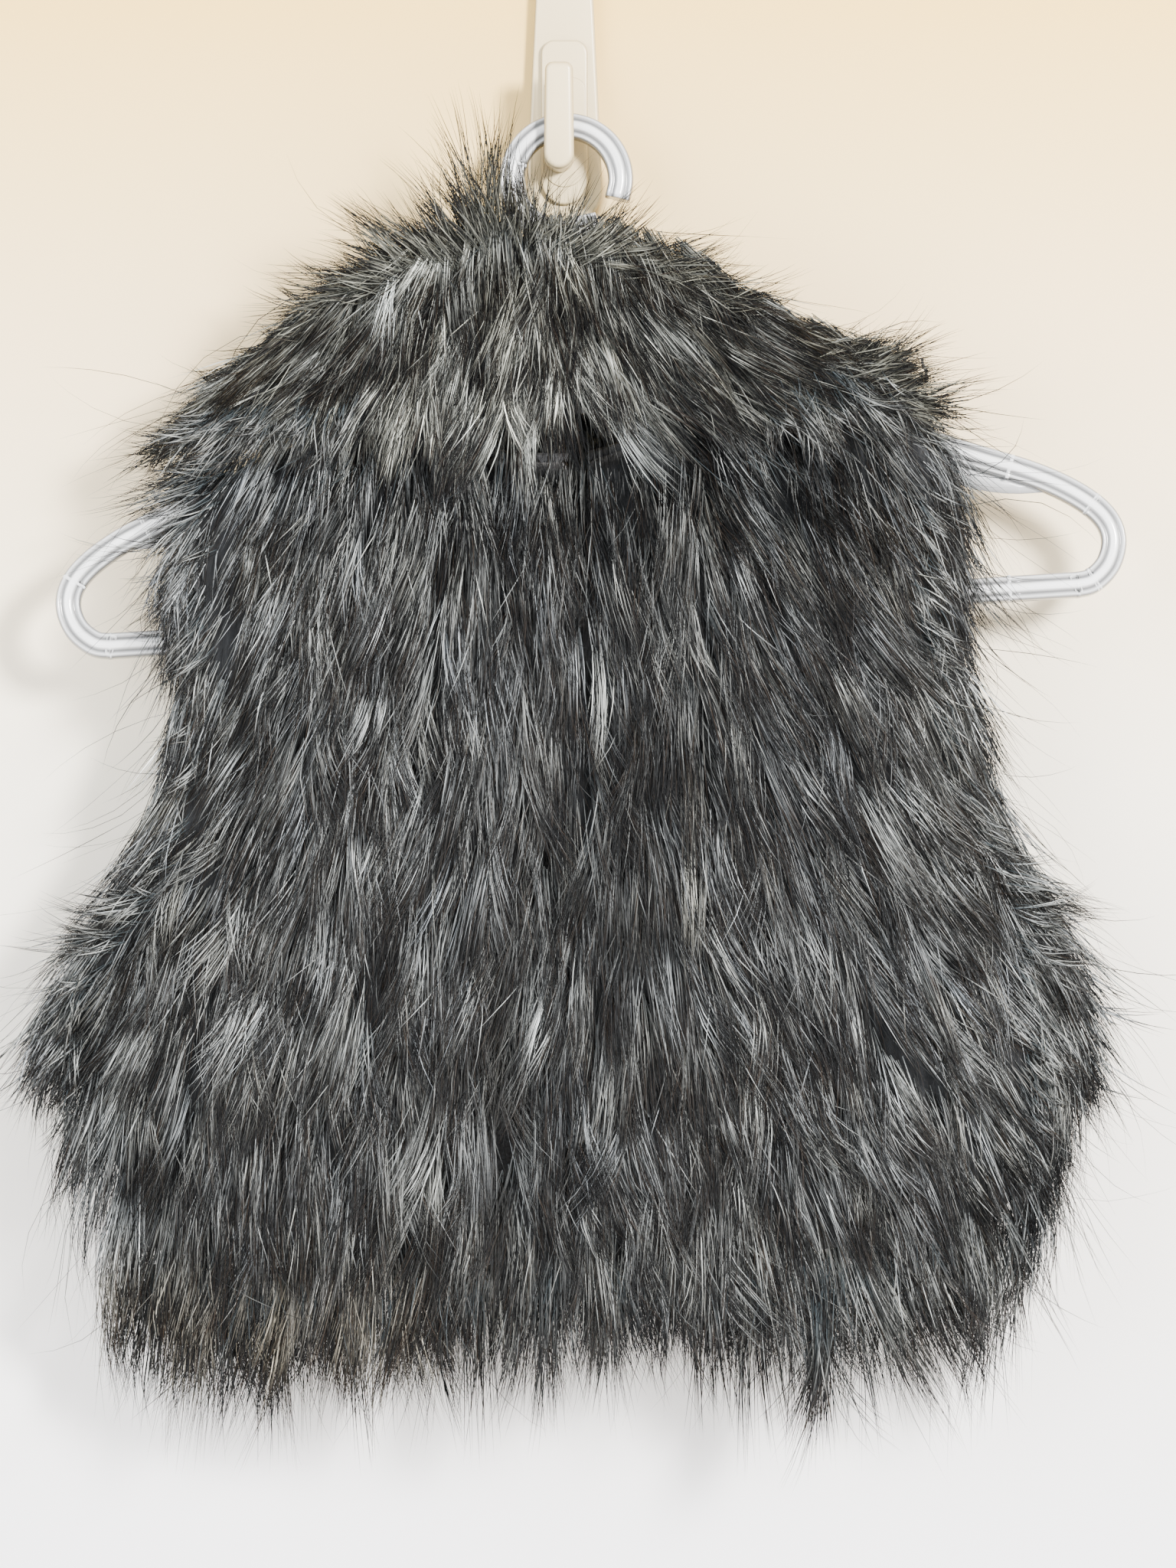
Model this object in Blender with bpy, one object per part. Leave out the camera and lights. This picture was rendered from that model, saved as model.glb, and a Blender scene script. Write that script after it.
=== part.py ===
"""Child's faux fur vest on a moulded hanger that hangs from an adhesive wall hook.

Metres, +Z up. The wall is the plane y = 0, and the vest hangs in front of it with its front towards -Y. The
origin is on the back of the wall hook's base, level with the seat that the hanger rests on. Left and right are
the wearer's, so the right front is at -X. Each panel is a wall from the inside of the knitted backing out to the
laid pile, whose outer points carry its locks. Pile that reaches past a cut edge is a row of locks on a narrow strip.
"""

import functools
import math
from typing import NamedTuple

import bmesh
import bpy
import numpy as np

SEAM = 0.0003
HALF_SEAM = SEAM / 2

# Hanger
HANGER_TUBE = 0.0076
HANGER_HALF_WIDTH = 0.1565
HANGER_BAR_DROP = 0.0139
HANGER_BAR_HALF = 0.141
HANGER_HOOK_UP = 0.1175
HANGER_HOOK_RADIUS = 0.0164
HANGER_STEM_FOOT = 0.0713
HANGER_TURN = math.radians(3.63)
HANGER_MIDDLE = (0.0080, -0.1301)
LEAN = math.tan(math.radians(6.0))
LEAN_ENDS = -0.150

# Wall hook
SEAT_Y = -0.0135
SEAT_X = -0.0016
SEAT_WIDTH = 0.0091
SEAT_TOP = -0.0008
PLATE_THICK = 0.0042
PLATE_TOP = 0.0543
PLATE_BOTTOM = -0.0258
PLATE_UPPER_RADIUS = 0.0086
PLATE_LOWER_RADIUS = 0.0115
PAD_THICK = 0.0020
PAD_WIDTH = 0.0141
PAD_TOP = 0.0303
PAD_BOTTOM = -0.0195
PRONG_BACK = -0.0180
PRONG_THICK = 0.0040
PRONG_TOP = 0.0223
PRONG_BOTTOM = -0.0098
FUSED = 0.0010

# Panels
PILE_FRONT = 0.0190
PILE_BACK = 0.0128
PILE_UNDER_COLLAR = 0.0050
PILE_AT_NECK = 0.0022
PILE_AT_SIDE = 0.0095
PILE_AT_HEM = 0.0110
COLLAR_SHADE = -0.096
COLLAR_SHADE_LENGTH = 0.026
PILE_AT_OPENING = 0.72
PILE_STANDS_UP = 0.016
SHOULDER_CLOSES = 0.012
LOCK_RELIEF = 0.0042
LOCK_HANG = 0.0055
FRONT_COLUMNS = 24
BACK_COLUMNS = 48
TOP_ROWS = (0.0, 0.009, 0.022, 0.040, 0.065, 0.100)
EVEN_ROWS = 21
INNER_TOP_ROWS = (0, 1, 2, 3, 5)
INNER_STEP = 4
HEM_MIDDLE = -0.342
HEM_INSET = 0.012
LOCK_COLUMNS = 3
LOCK_ROWS = 5

# Collar
COLLAR_MIDDLE_X = -0.0020
COLLAR_SECTIONS = 84
COLLAR_PARTING = 0.0008
COLLAR_ACROSS = 0.80
COLLAR_FALL_RIGHT = 1.5
COLLAR_FALL_LEFT = 2.2
NECK_SEAM = 0.0014
NECK_ENDS = 0.055
NECK_TURN = 0.006

RANDOM_SEED = 11


class Outline(NamedTuple):
    """One height of the body: the cloth's side edges, the centre front edges and half the hollow's depth."""

    height: float
    right_side: float
    left_side: float
    right_front: float
    left_front: float
    hollow: float
    open_side: float


BODY = (
    # height, right side, left side, right front edge, left front edge, half hollow, half hollow at the side
    Outline(-0.070, -0.100, 0.108, 0.0036, 0.0044, 0.0078, 0.0062),
    Outline(-0.100, -0.108, 0.112, 0.0037, 0.0045, 0.0080, 0.0064),
    Outline(-0.130, -0.106, 0.111, 0.0034, 0.0042, 0.0084, 0.0072),
    Outline(-0.160, -0.104, 0.112, 0.0026, 0.0034, 0.0090, 0.0078),
    Outline(-0.185, -0.108, 0.116, 0.0010, 0.0018, 0.0094, 0.0078),
    Outline(-0.205, -0.115, 0.124, -0.0030, -0.0022, 0.0098, 0.0070),
    Outline(-0.225, -0.125, 0.135, -0.0088, -0.0080, 0.0100, 0.0052),
    Outline(-0.240, -0.137, 0.145, -0.0126, -0.0118, 0.0102, 0.0028),
    Outline(-0.252, -0.145, 0.150, -0.0146, -0.0138, 0.0104, HALF_SEAM),
    Outline(-0.266, -0.145, 0.149, -0.0163, -0.0154, 0.0106, HALF_SEAM),
    Outline(-0.285, -0.139, 0.143, -0.0180, -0.0170, 0.0108, HALF_SEAM),
    Outline(-0.310, -0.129, 0.134, -0.0194, -0.0176, 0.0110, HALF_SEAM),
    Outline(-0.330, -0.121, 0.124, -0.0202, -0.0158, 0.0110, HALF_SEAM),
    Outline(-0.350, -0.114, 0.114, -0.0210, -0.0130, 0.0108, HALF_SEAM),
)


class Hem(NamedTuple):
    """The hem line: the share of the way from one side to the other, and its height."""

    share: float
    height: float


HEM = (
    Hem(0.00, -0.340),
    Hem(0.15, -0.344),
    Hem(0.50, -0.345),
    Hem(0.80, -0.341),
    Hem(1.00, -0.330),
)


class Loop(NamedTuple):
    """One loop round the collar's section: half widths, depths from the middle plane, and heights."""

    right: float
    left: float
    front: float
    back: float
    height_front: float
    height_back: float
    height_right: float
    height_left: float
    relief: float
    roundness: float


COLLAR = (
    # right, left, front, back, height at front, back, right and left, share of the lock relief, roundness
    Loop(0.042, 0.042, 0.0078, 0.0078, -0.091, -0.082, -0.074, -0.0645, 0.0, 0.32),
    Loop(0.044, 0.043, 0.0078, 0.0078, -0.070, -0.066, -0.062, -0.0590, 0.0, 0.32),
    Loop(0.047, 0.046, 0.0085, 0.0080, -0.046, -0.044, -0.053, -0.0545, 0.0, 0.40),
    Loop(0.052, 0.050, 0.0120, 0.0100, -0.032, -0.032, -0.047, -0.0510, 0.2, 0.50),
    Loop(0.058, 0.056, 0.0175, 0.0125, -0.026, -0.027, -0.043, -0.0495, 0.4, 0.55),
    Loop(0.066, 0.064, 0.0235, 0.0142, -0.031, -0.032, -0.048, -0.0530, 0.7, 0.55),
    Loop(0.075, 0.074, 0.0275, 0.0156, -0.043, -0.044, -0.0555, -0.0570, 1.0, 0.55),
    Loop(0.084, 0.083, 0.0295, 0.0168, -0.056, -0.056, -0.0625, -0.0610, 1.0, 0.55),
    Loop(0.093, 0.092, 0.0305, 0.0179, -0.069, -0.069, -0.0700, -0.0660, 1.0, 0.55),
    Loop(0.102, 0.1005, 0.0308, 0.0190, -0.083, -0.081, -0.0785, -0.0725, 1.0, 0.55),
    Loop(0.111, 0.111, 0.0300, 0.0198, -0.096, -0.093, -0.0865, -0.0785, 1.0, 0.55),
    Loop(0.113, 0.113, 0.0262, 0.0180, -0.102, -0.099, -0.0935, -0.0815, 0.4, 0.50),
    Loop(0.101, 0.099, 0.0215, 0.0160, -0.099, -0.095, -0.0905, -0.0755, 0.0, 0.40),
    Loop(0.075, 0.072, 0.0172, 0.0140, -0.094, -0.087, -0.0810, -0.0675, 0.0, 0.32),
    Loop(0.050, 0.050, 0.0135, 0.0130, -0.0895, -0.0805, -0.0715, -0.0620, 0.0, 0.32),
)


# Which of the loops above are the collar's crest and its lower edge
CREST_LOOP = 4
EDGE_LOOP = 11


class Edge(NamedTuple):
    """One row of locks along an edge: how many, how long, how far they swing, and their strip."""

    count: int
    length: float
    swing: float
    strip_height: float
    strip_thick: float
    gap: float


HEM_FRONT = Edge(24, 0.044, 0.010, 0.0050, 0.0090, 0.0006)
HEM_BACK = Edge(46, 0.044, 0.007, 0.0050, 0.0090, 0.0006)
SIDE = Edge(12, 0.022, 0.004, 0.0030, 0.0060, 0.0004)
ARMHOLE = Edge(9, 0.017, 0.003, 0.0030, 0.0050, 0.0002)
COLLAR_EDGE = Edge(44, 0.017, 0.005, 0.0026, 0.0030, 0.0015)
COLLAR_CREST = Edge(18, 0.032, 0.007, 0.0026, 0.0034, 0.0016)

# Each row of locks swings as one line of waves this many locks long
SWING_REACH = 7
STRIP_OUTWARD = 0.2

# The one lock that hangs far below the rest, and where the crest stands highest
LONG_LOCK_X = 0.076
LONG_LOCK_LENGTH = 0.064
LONG_LOCK_HALF_WIDTH = 0.0026
CREST_PEAK_X = -0.016
CREST_PEAK_WIDTH = 0.022


def clear_scene():
    for old in list(bpy.data.objects):
        bpy.data.objects.remove(old, do_unlink=True)


def new_collection(name):
    collection = bpy.data.collections.new(name)
    bpy.context.scene.collection.children.link(collection)
    return collection


def material(name, colour, roughness, metallic=0.0):
    made = bpy.data.materials.new(name)
    made.use_nodes = True
    shader = made.node_tree.nodes["Principled BSDF"]
    shader.inputs["Base Color"].default_value = (*colour, 1.0)
    shader.inputs["Roughness"].default_value = roughness
    shader.inputs["Metallic"].default_value = metallic
    made.diffuse_color = (*colour, 1.0)
    return made


def smooth_step(value):
    share = np.clip(value, 0.0, 1.0)
    return share * share * (3.0 - 2.0 * share)


@functools.cache
def column_of(rows, key, field):
    """One column of a table against another, in rising order, with the slope at each row."""
    keys = np.array([getattr(row, key) for row in rows])
    values = np.array([getattr(row, field) for row in rows])
    if keys[0] > keys[-1]:
        keys, values = keys[::-1], values[::-1]
    return keys, values, np.gradient(values, keys)


def through(rows, key, field, at):
    """A smooth line through one column of a table, read at another column's value."""
    keys, values, slopes = column_of(rows, key, field)
    at = min(max(at, keys[0]), keys[-1])
    cell = min(max(int(np.searchsorted(keys, at)) - 1, 0), len(keys) - 2)
    width = keys[cell + 1] - keys[cell]
    t = (at - keys[cell]) / width
    return (
        values[cell] * (1 + 2 * t) * (1 - t) ** 2
        + slopes[cell] * width * t * (1 - t) ** 2
        + values[cell + 1] * t * t * (3 - 2 * t)
        + slopes[cell + 1] * width * t * t * (t - 1)
    )


def body(field, height):
    return through(BODY, "height", field, height)


def middle_plane(height):
    """The vest and the hanger lean out from the seat, and below the bar the vest hangs plumb."""
    return SEAT_Y + LEAN * max(height, LEAN_ENDS)


def on_hanger(across, up):
    """A point of the hanger, from its own axes to the world's."""
    x = HANGER_MIDDLE[0] + across * math.cos(HANGER_TURN) - up * math.sin(HANGER_TURN)
    z = HANGER_MIDDLE[1] + across * math.sin(HANGER_TURN) + up * math.cos(HANGER_TURN)
    return (x, SEAT_Y + LEAN * z, z)


class ArmPoint(NamedTuple):
    """A point on the left arm's middle line, in the hanger's own axes."""

    across: float
    up: float


ARM = (
    ArmPoint(0.000, 0.0672),
    ArmPoint(0.012, 0.0660),
    ArmPoint(0.030, 0.0595),
    ArmPoint(0.070, 0.0440),
    ArmPoint(0.114, 0.0274),
    ArmPoint(0.134, 0.0198),
    ArmPoint(0.1465, 0.0130),
    ArmPoint(0.1540, 0.0062),
    ArmPoint(HANGER_HALF_WIDTH, -0.0008),
    ArmPoint(0.1545, -0.0080),
    ArmPoint(0.1495, -0.0128),
    ArmPoint(0.1445, -HANGER_BAR_DROP),
    ArmPoint(HANGER_BAR_HALF, -HANGER_BAR_DROP),
)


@functools.cache
def shoulder_line():
    """The hanger's arms from end to end, as x and z."""
    points = sorted(on_hanger(side * p.across, p.up) for side in (-1, 1) for p in ARM[1:6])
    return [p[0] for p in points], [p[2] for p in points]


def shoulder_height(x):
    """Height of the shoulder seam, just over the hanger's arm."""
    return float(np.interp(x, *shoulder_line())) + 0.66 * HANGER_TUBE


def lock_pattern(column, row, shift):
    """Staggered locks: rounded across, thick towards the tip and stepped back at the next root.

    Gives the height of the lock, and how far its tip hangs over the next one, each from 0 to 1.
    """
    which, across = divmod(column, LOCK_COLUMNS)
    ridge = 0.0 if across == 0 else 1.0
    along = ((row + shift[which % len(shift)]) % LOCK_ROWS) / (LOCK_ROWS - 1)
    return ridge * (0.2 + 0.8 * along), ridge * along**3


class Panel:
    """A wall of fur cloth between a neckline or shoulder, two upright edges and the hem."""

    def __init__(self, name, columns, first, last, facing):
        self.name = name
        self.columns = columns
        self.first = first
        self.last = last
        self.facing = facing
        self.rows = list(TOP_ROWS) + [
            TOP_ROWS[-1] + (1.0 - TOP_ROWS[-1]) * (k + 1) / EVEN_ROWS
            for k in range(EVEN_ROWS)
        ]
        self.shift = np.random.default_rng(RANDOM_SEED + columns + facing).integers(0, LOCK_ROWS, 24)

    def edges(self, height):
        return body(self.first, height), body(self.last, height)

    @functools.cache
    def top(self, share):
        """Where the panel's top edge is: along the shoulder, and dipped at the neck."""
        height = -0.085
        for _ in range(12):
            low, high = self.edges(height)
            x = low + (high - low) * share
            under_collar = smooth_step((NECK_ENDS - abs(x - COLLAR_MIDDLE_X)) / NECK_TURN)
            height = shoulder_height(x)
            if under_collar > 0.0:
                height = min(height, neckline(x, self.facing))
        return height, under_collar

    @functools.cache
    def bottom(self, share):
        low, high = self.edges(HEM_MIDDLE)
        x = low + (high - low) * share
        whole = body("right_side", HEM_MIDDLE), body("left_side", HEM_MIDDLE)
        return through(HEM, "share", "height", (x - whole[0]) / (whole[1] - whole[0]))

    def sideness(self, share):
        """How near a point is to a side edge, from 0 to 1, and which way the side lies."""
        toward = 0.0
        if self.last == "left_side":
            toward = smooth_step((share - 0.70) / 0.30)
        if self.first == "right_side":
            near_right = smooth_step((0.30 - share) / 0.30)
            toward = toward - near_right
        return abs(toward), math.copysign(1.0, toward)

    @functools.cache
    def inner(self, share, row):
        top, at_neck = self.top(share)
        height = top + (self.bottom(share) - top) * row
        low, high = self.edges(height)
        x = low + (high - low) * share
        closeness, _ = self.sideness(share)
        middle = float(body("hollow", height))
        edge = max(HALF_SEAM, float(body("open_side", height)))
        depth = edge + (middle - edge) * math.sqrt(max(0.0, 1.0 - closeness**2.2))
        below = top - height
        closed = math.sqrt(1.0 - (1.0 - min(1.0, below / SHOULDER_CLOSES)) ** 2)
        depth = HALF_SEAM + (depth - HALF_SEAM) * max(closed, at_neck)
        return x, middle_plane(height) + self.facing * depth, height

    def pile(self, share, row, column, number):
        """How the pile stands off the backing here: its length and its direction."""
        _, at_neck = self.top(share)
        x, _, height = self.inner(share, row)
        below = self.top(share)[0] - height
        closeness, side = self.sideness(share)
        full = PILE_FRONT if self.facing < 0 else PILE_BACK
        shaded = smooth_step((COLLAR_SHADE - height) / COLLAR_SHADE_LENGTH)
        near_neck = at_neck * (1.0 - smooth_step(below / PILE_STANDS_UP))
        tucked = PILE_UNDER_COLLAR + (PILE_AT_NECK - PILE_UNDER_COLLAR) * near_neck
        length = tucked + (full - tucked) * shaded
        length += (min(PILE_AT_SIDE, length) - length) * closeness
        length += (PILE_AT_HEM - length) * smooth_step((row - 0.93) / 0.07) * (1.0 - closeness)
        off_opening = 1.0
        if self.facing < 0:
            from_opening = share if self.last == "left_side" else 1.0 - share
            off_opening = smooth_step(from_opening / 0.08)
            length *= PILE_AT_OPENING + (1.0 - PILE_AT_OPENING) * off_opening
        inside = (1.0 - closeness) * shaded * off_opening
        relief, _ = lock_pattern(column, number, self.shift)
        length += LOCK_RELIEF * relief * inside
        up = math.radians(78.0) * (1.0 - smooth_step(below / PILE_STANDS_UP)) * (1.0 - at_neck)
        round_side = math.radians(90.0) * closeness
        return length, (
            side * math.sin(round_side),
            self.facing * math.cos(round_side) * math.cos(up),
            math.sin(up) * math.cos(round_side),
        )

    def outer(self, column, number):
        share = column / self.columns
        row = self.rows[number]
        base = self.inner(share, row)
        length, way = self.pile(share, row, column, number)
        x, y, z = (base[k] + length * way[k] for k in range(3))
        if len(TOP_ROWS) < number < len(self.rows) - 2:
            _, hang = lock_pattern(column, number, self.shift)
            z -= LOCK_HANG * hang * (1.0 - self.sideness(share)[0])
        return x, y, z

    def build(self, collection, fur):
        last_row = len(self.rows) - 1
        columns = list(range(0, self.columns + 1))
        coarse_columns = list(range(0, self.columns + 1, LOCK_COLUMNS))
        coarse_rows = list(INNER_TOP_ROWS)
        coarse_rows += range(INNER_TOP_ROWS[-1] + INNER_STEP, last_row, INNER_STEP)
        if coarse_rows[-1] != last_row:
            coarse_rows.append(last_row)
        mesh = bmesh.new()
        outside = {
            (c, r): mesh.verts.new(self.outer(c, r))
            for c in columns
            for r in range(last_row + 1)
        }
        inside = {
            (c, r): mesh.verts.new(self.inner(c / self.columns, self.rows[r]))
            for c in coarse_columns
            for r in coarse_rows
        }
        for c in range(self.columns):
            for r in range(last_row):
                mesh.faces.new(
                    (outside[c, r], outside[c, r + 1], outside[c + 1, r + 1], outside[c + 1, r])
                )
        for c, next_c in zip(coarse_columns, coarse_columns[1:]):
            for r, next_r in zip(coarse_rows, coarse_rows[1:]):
                mesh.faces.new(
                    (inside[c, r], inside[next_c, r], inside[next_c, next_r], inside[c, next_r])
                )
        for c, next_c in zip(coarse_columns, coarse_columns[1:]):
            for r in (0, last_row):
                rim = [outside[k, r] for k in range(c, next_c + 1)]
                mesh.faces.new([inside[next_c, r], inside[c, r]] + rim)
        for r, next_r in zip(coarse_rows, coarse_rows[1:]):
            for c in (0, self.columns):
                rim = [outside[c, k] for k in range(r, next_r + 1)]
                mesh.faces.new([inside[c, next_r], inside[c, r]] + rim)
        return finish(self.name, mesh, collection, fur)


def finish(name, mesh, collection, look):
    """Makes the object: faces all pointing out, shaded smooth."""
    bmesh.ops.recalc_face_normals(mesh, faces=mesh.faces)
    bmesh.ops.triangulate(mesh, faces=[f for f in mesh.faces if len(f.verts) > 4])
    for face in mesh.faces:
        face.smooth = True
    data = bpy.data.meshes.new(name)
    mesh.to_mesh(data)
    mesh.free()
    made = bpy.data.objects.new(name, data)
    made.data.materials.append(look)
    collection.objects.link(made)
    return made


def collar_point(loop, angle, push=0.0):
    """A point on one of the collar's loops. The angle is 0 at the left side and grows towards the back."""
    c, s = math.cos(angle), math.sin(angle)
    wide = math.copysign(abs(c) ** COLLAR_ACROSS, c)
    deep = math.copysign(abs(s) ** loop.roundness, s)
    half_width = (loop.left if c > 0 else loop.right) + push
    half_depth = (loop.back if s > 0 else loop.front) + push * (1.0 if s < 0 else 0.25)
    facing_height = loop.height_back if s > 0 else loop.height_front
    side_height = loop.height_left if c > 0 else loop.height_right
    fall = COLLAR_FALL_LEFT if c > 0 else COLLAR_FALL_RIGHT
    height = side_height + (facing_height - side_height) * abs(s) ** fall
    return (
        COLLAR_MIDDLE_X + half_width * wide,
        middle_plane(height) + half_depth * deep,
        height,
    )


def neckline(x, facing):
    """Height of a panel's neck edge, a little below the collar's neck seam."""
    lowest = 0.0
    for loop in (COLLAR[0], COLLAR[-1]):
        half_width = loop.left if x > COLLAR_MIDDLE_X else loop.right
        wide = min(1.0, abs(x - COLLAR_MIDDLE_X) / half_width)
        s = math.sqrt(max(0.0, 1.0 - wide ** (2 / COLLAR_ACROSS)))
        facing_height = loop.height_back if facing > 0 else loop.height_front
        side_height = loop.height_left if x > COLLAR_MIDDLE_X else loop.height_right
        fall = COLLAR_FALL_LEFT if x > COLLAR_MIDDLE_X else COLLAR_FALL_RIGHT
        lowest = min(lowest, side_height + (facing_height - side_height) * s**fall)
    return lowest - NECK_SEAM


def collar_angles(count):
    """Angles from the right end of the collar at the centre front, by the right side and the back, to the left end."""
    start = -math.pi / 2
    return [start - 2 * math.pi * k / count for k in range(count + 1)]


def build_collar(collection, fur):
    mesh = bmesh.new()
    shift = np.random.default_rng(RANDOM_SEED).integers(0, LOCK_ROWS, 31)
    rings = []
    for number, angle in enumerate(collar_angles(COLLAR_SECTIONS)):
        ring = []
        for k, loop in enumerate(COLLAR):
            relief, _ = lock_pattern(number, k, shift)
            x, y, z = collar_point(loop, angle, 0.8 * LOCK_RELIEF * loop.relief * relief)
            if number == 0:
                x -= COLLAR_PARTING / 2
            if number == COLLAR_SECTIONS:
                x += COLLAR_PARTING / 2
            ring.append(mesh.verts.new((x, y, z)))
        rings.append(ring)
    count = len(COLLAR)
    for near, far in zip(rings, rings[1:]):
        for k in range(count):
            m = (k + 1) % count
            mesh.faces.new((near[k], near[m], far[m], far[k]))
    mesh.faces.new(rings[0])
    mesh.faces.new(rings[-1][::-1])
    return finish("collar", mesh, collection, fur)


class Root(NamedTuple):
    """One corner line of a lock strip: where it is, which way the locks go and which way the strip is thick."""

    place: np.ndarray
    way: np.ndarray
    thick: np.ndarray


def unit(vector):
    vector = np.asarray(vector, float)
    return vector / np.linalg.norm(vector)


def build_locks(name, roots, edge, collection, fur, seed, lengths=None):
    """A narrow strip with one tapering lock for each cell of it, fused at the root and free below."""
    random = np.random.default_rng(RANDOM_SEED + seed)
    mesh = bmesh.new()
    half = edge.strip_thick / 2
    corners = []
    for root in roots:
        back = root.place - root.way * edge.strip_height
        corners.append(
            [
                mesh.verts.new(p)
                for p in (
                    back + root.thick * half,
                    back - root.thick * half,
                    root.place - root.thick * half,
                    root.place + root.thick * half,
                )
            ]
        )
    count = len(roots) - 1
    waves = random.normal(0.0, 1.0, count + SWING_REACH - 1)
    swing = np.convolve(waves, np.ones(SWING_REACH) / math.sqrt(SWING_REACH), "valid")
    for k in range(count):
        a, b = corners[k], corners[k + 1]
        mesh.faces.new((a[0], a[1], b[1], b[0]))
        mesh.faces.new((a[1], a[2], b[2], b[1]))
        mesh.faces.new((a[3], a[0], b[0], b[3]))
        way = unit(roots[k].way + roots[k + 1].way)
        along = roots[k + 1].place - roots[k].place
        side = unit(along)
        thick = unit(roots[k].thick + roots[k + 1].thick)
        middle = (roots[k].place + roots[k + 1].place) / 2
        length = edge.length * random.uniform(0.70, 1.0)
        if lengths is not None:
            length = lengths(middle, length)
        half_width = np.linalg.norm(along) / 2
        bent = middle + way * length * 0.48 + side * swing[k] * edge.swing * 0.2
        tip = middle + way * length + side * swing[k] * edge.swing * 0.5
        knee = [
            mesh.verts.new(bent + side * half_width * 0.62 * u + thick * half * 0.55 * v)
            for u, v in ((-1, -1), (-1, 1), (1, 1), (1, -1))
        ]
        ring = [a[2], a[3], b[3], b[2]]
        point = mesh.verts.new(tip)
        for m in range(4):
            n = (m + 1) % 4
            mesh.faces.new((ring[m], ring[n], knee[n], knee[m]))
            mesh.faces.new((knee[m], knee[n], point))
    mesh.faces.new(corners[0])
    mesh.faces.new(corners[-1][::-1])
    return finish(name, mesh, collection, fur)


def hem_roots(panel, edge, inset):
    """Corner lines along a panel's hem, a seam's gap below it."""
    roots = []
    for k in range(edge.count + 1):
        share = inset + (1.0 - 2 * inset) * k / edge.count
        x, y, z = panel.inner(share, 1.0)
        length, way = panel.pile(share, 1.0, 0, 0)
        outward = unit(way)
        centre = np.array((x, y, z)) + outward * length * 0.5
        lean = unit((0.10 * (2 * share - 1), 0.0, -1.0))
        place = centre + lean * (edge.strip_height + edge.gap)
        roots.append(Root(place, lean, unit(outward - lean * np.dot(outward, lean))))
    return roots


def edge_roots(panel, share, edge, start, end, spread_down):
    """Corner lines along a panel's upright edge, between two heights, just outside its pile."""
    roots = []
    side = 1.0 if share > 0.5 else -1.0
    for k in range(edge.count + 1):
        height = start + (end - start) * k / edge.count
        top = panel.top(share)[0]
        row = (top - height) / (top - panel.bottom(share))
        x, y, z = panel.inner(share, row)
        length = panel.pile(share, row, 0, 0)[0]
        down = spread_down[0] + (spread_down[1] - spread_down[0]) * k / edge.count
        way = unit((side, 0.0, -down))
        outward = panel.facing * edge.strip_thick * STRIP_OUTWARD
        place = np.array((x + side * (length + edge.strip_height + edge.gap), y + outward, z))
        roots.append(Root(place, way, np.array((0.0, 1.0, 0.0))))
    return roots


def collar_roots(loop, edge, start, end, ways):
    """Corner lines along one of the collar's loops, from one angle to another, in degrees."""
    roots = []
    for k in range(edge.count + 1):
        angle = math.radians(start + (end - start) * k / edge.count)
        place = np.array(collar_point(loop, angle))
        c, s = math.cos(angle), math.sin(angle)
        way = ways(c, s)
        tangent = np.array(collar_point(loop, angle + 0.02)) - np.array(
            collar_point(loop, angle - 0.02)
        )
        thick = unit(np.cross(tangent, way))
        roots.append(Root(place + way * (edge.strip_height + edge.gap), way, thick))
    return roots


def tube(name, points, diameter, collection, look):
    """A round bar along a line of points, closed at both ends."""
    curve = bpy.data.curves.new(name, "CURVE")
    curve.dimensions = "3D"
    curve.bevel_depth = diameter / 2
    curve.bevel_resolution = 3
    curve.use_fill_caps = True
    line = curve.splines.new("POLY")
    line.points.add(len(points) - 1)
    for slot, point in zip(line.points, points):
        slot.co = (*point, 1.0)
    made = bpy.data.objects.new(name, curve)
    curve.materials.append(look)
    collection.objects.link(made)
    return made


def rounded(points, steps):
    """A smooth line through points, from a Catmull-Rom spline."""
    points = np.array(points)
    padded = np.vstack([2 * points[0] - points[1], points, 2 * points[-1] - points[-2]])
    line = []
    for k in range(1, len(padded) - 2):
        a, b, c, d = padded[k - 1 : k + 3]
        for step in range(steps):
            t = step / steps
            line.append(
                0.5 * (2 * b + (c - a) * t + (2 * a - 5 * b + 4 * c - d) * t**2 + (3 * b - a - 3 * c + d) * t**3)
            )
    line.append(points[-1])
    return [tuple(p) for p in line]


def build_hanger(collection, look):
    left = [on_hanger(p.across, p.up) for p in ARM]
    right = [on_hanger(-p.across, p.up) for p in ARM[1:]]
    tube("hanger_arms", rounded(right[::-1] + left, 2), HANGER_TUBE, collection, look)
    reach = HANGER_BAR_HALF - SEAM
    bar = [on_hanger(x, -HANGER_BAR_DROP) for x in np.linspace(-reach, reach, 5)]
    tube("hanger_bar", bar, HANGER_TUBE, collection, look)
    hook = [on_hanger(0.0, HANGER_STEM_FOOT), on_hanger(0.0, HANGER_STEM_FOOT + 0.012)]
    for degrees in range(-78, -386, -14):
        turn = math.radians(degrees)
        hook.append(
            on_hanger(
                HANGER_HOOK_RADIUS * math.cos(turn),
                HANGER_HOOK_UP + HANGER_HOOK_RADIUS * math.sin(turn),
            )
        )
    hook[2] = on_hanger(-0.0004, HANGER_HOOK_UP - HANGER_HOOK_RADIUS - 0.0012)
    tube("hanger_hook", hook, HANGER_TUBE, collection, look)


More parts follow.
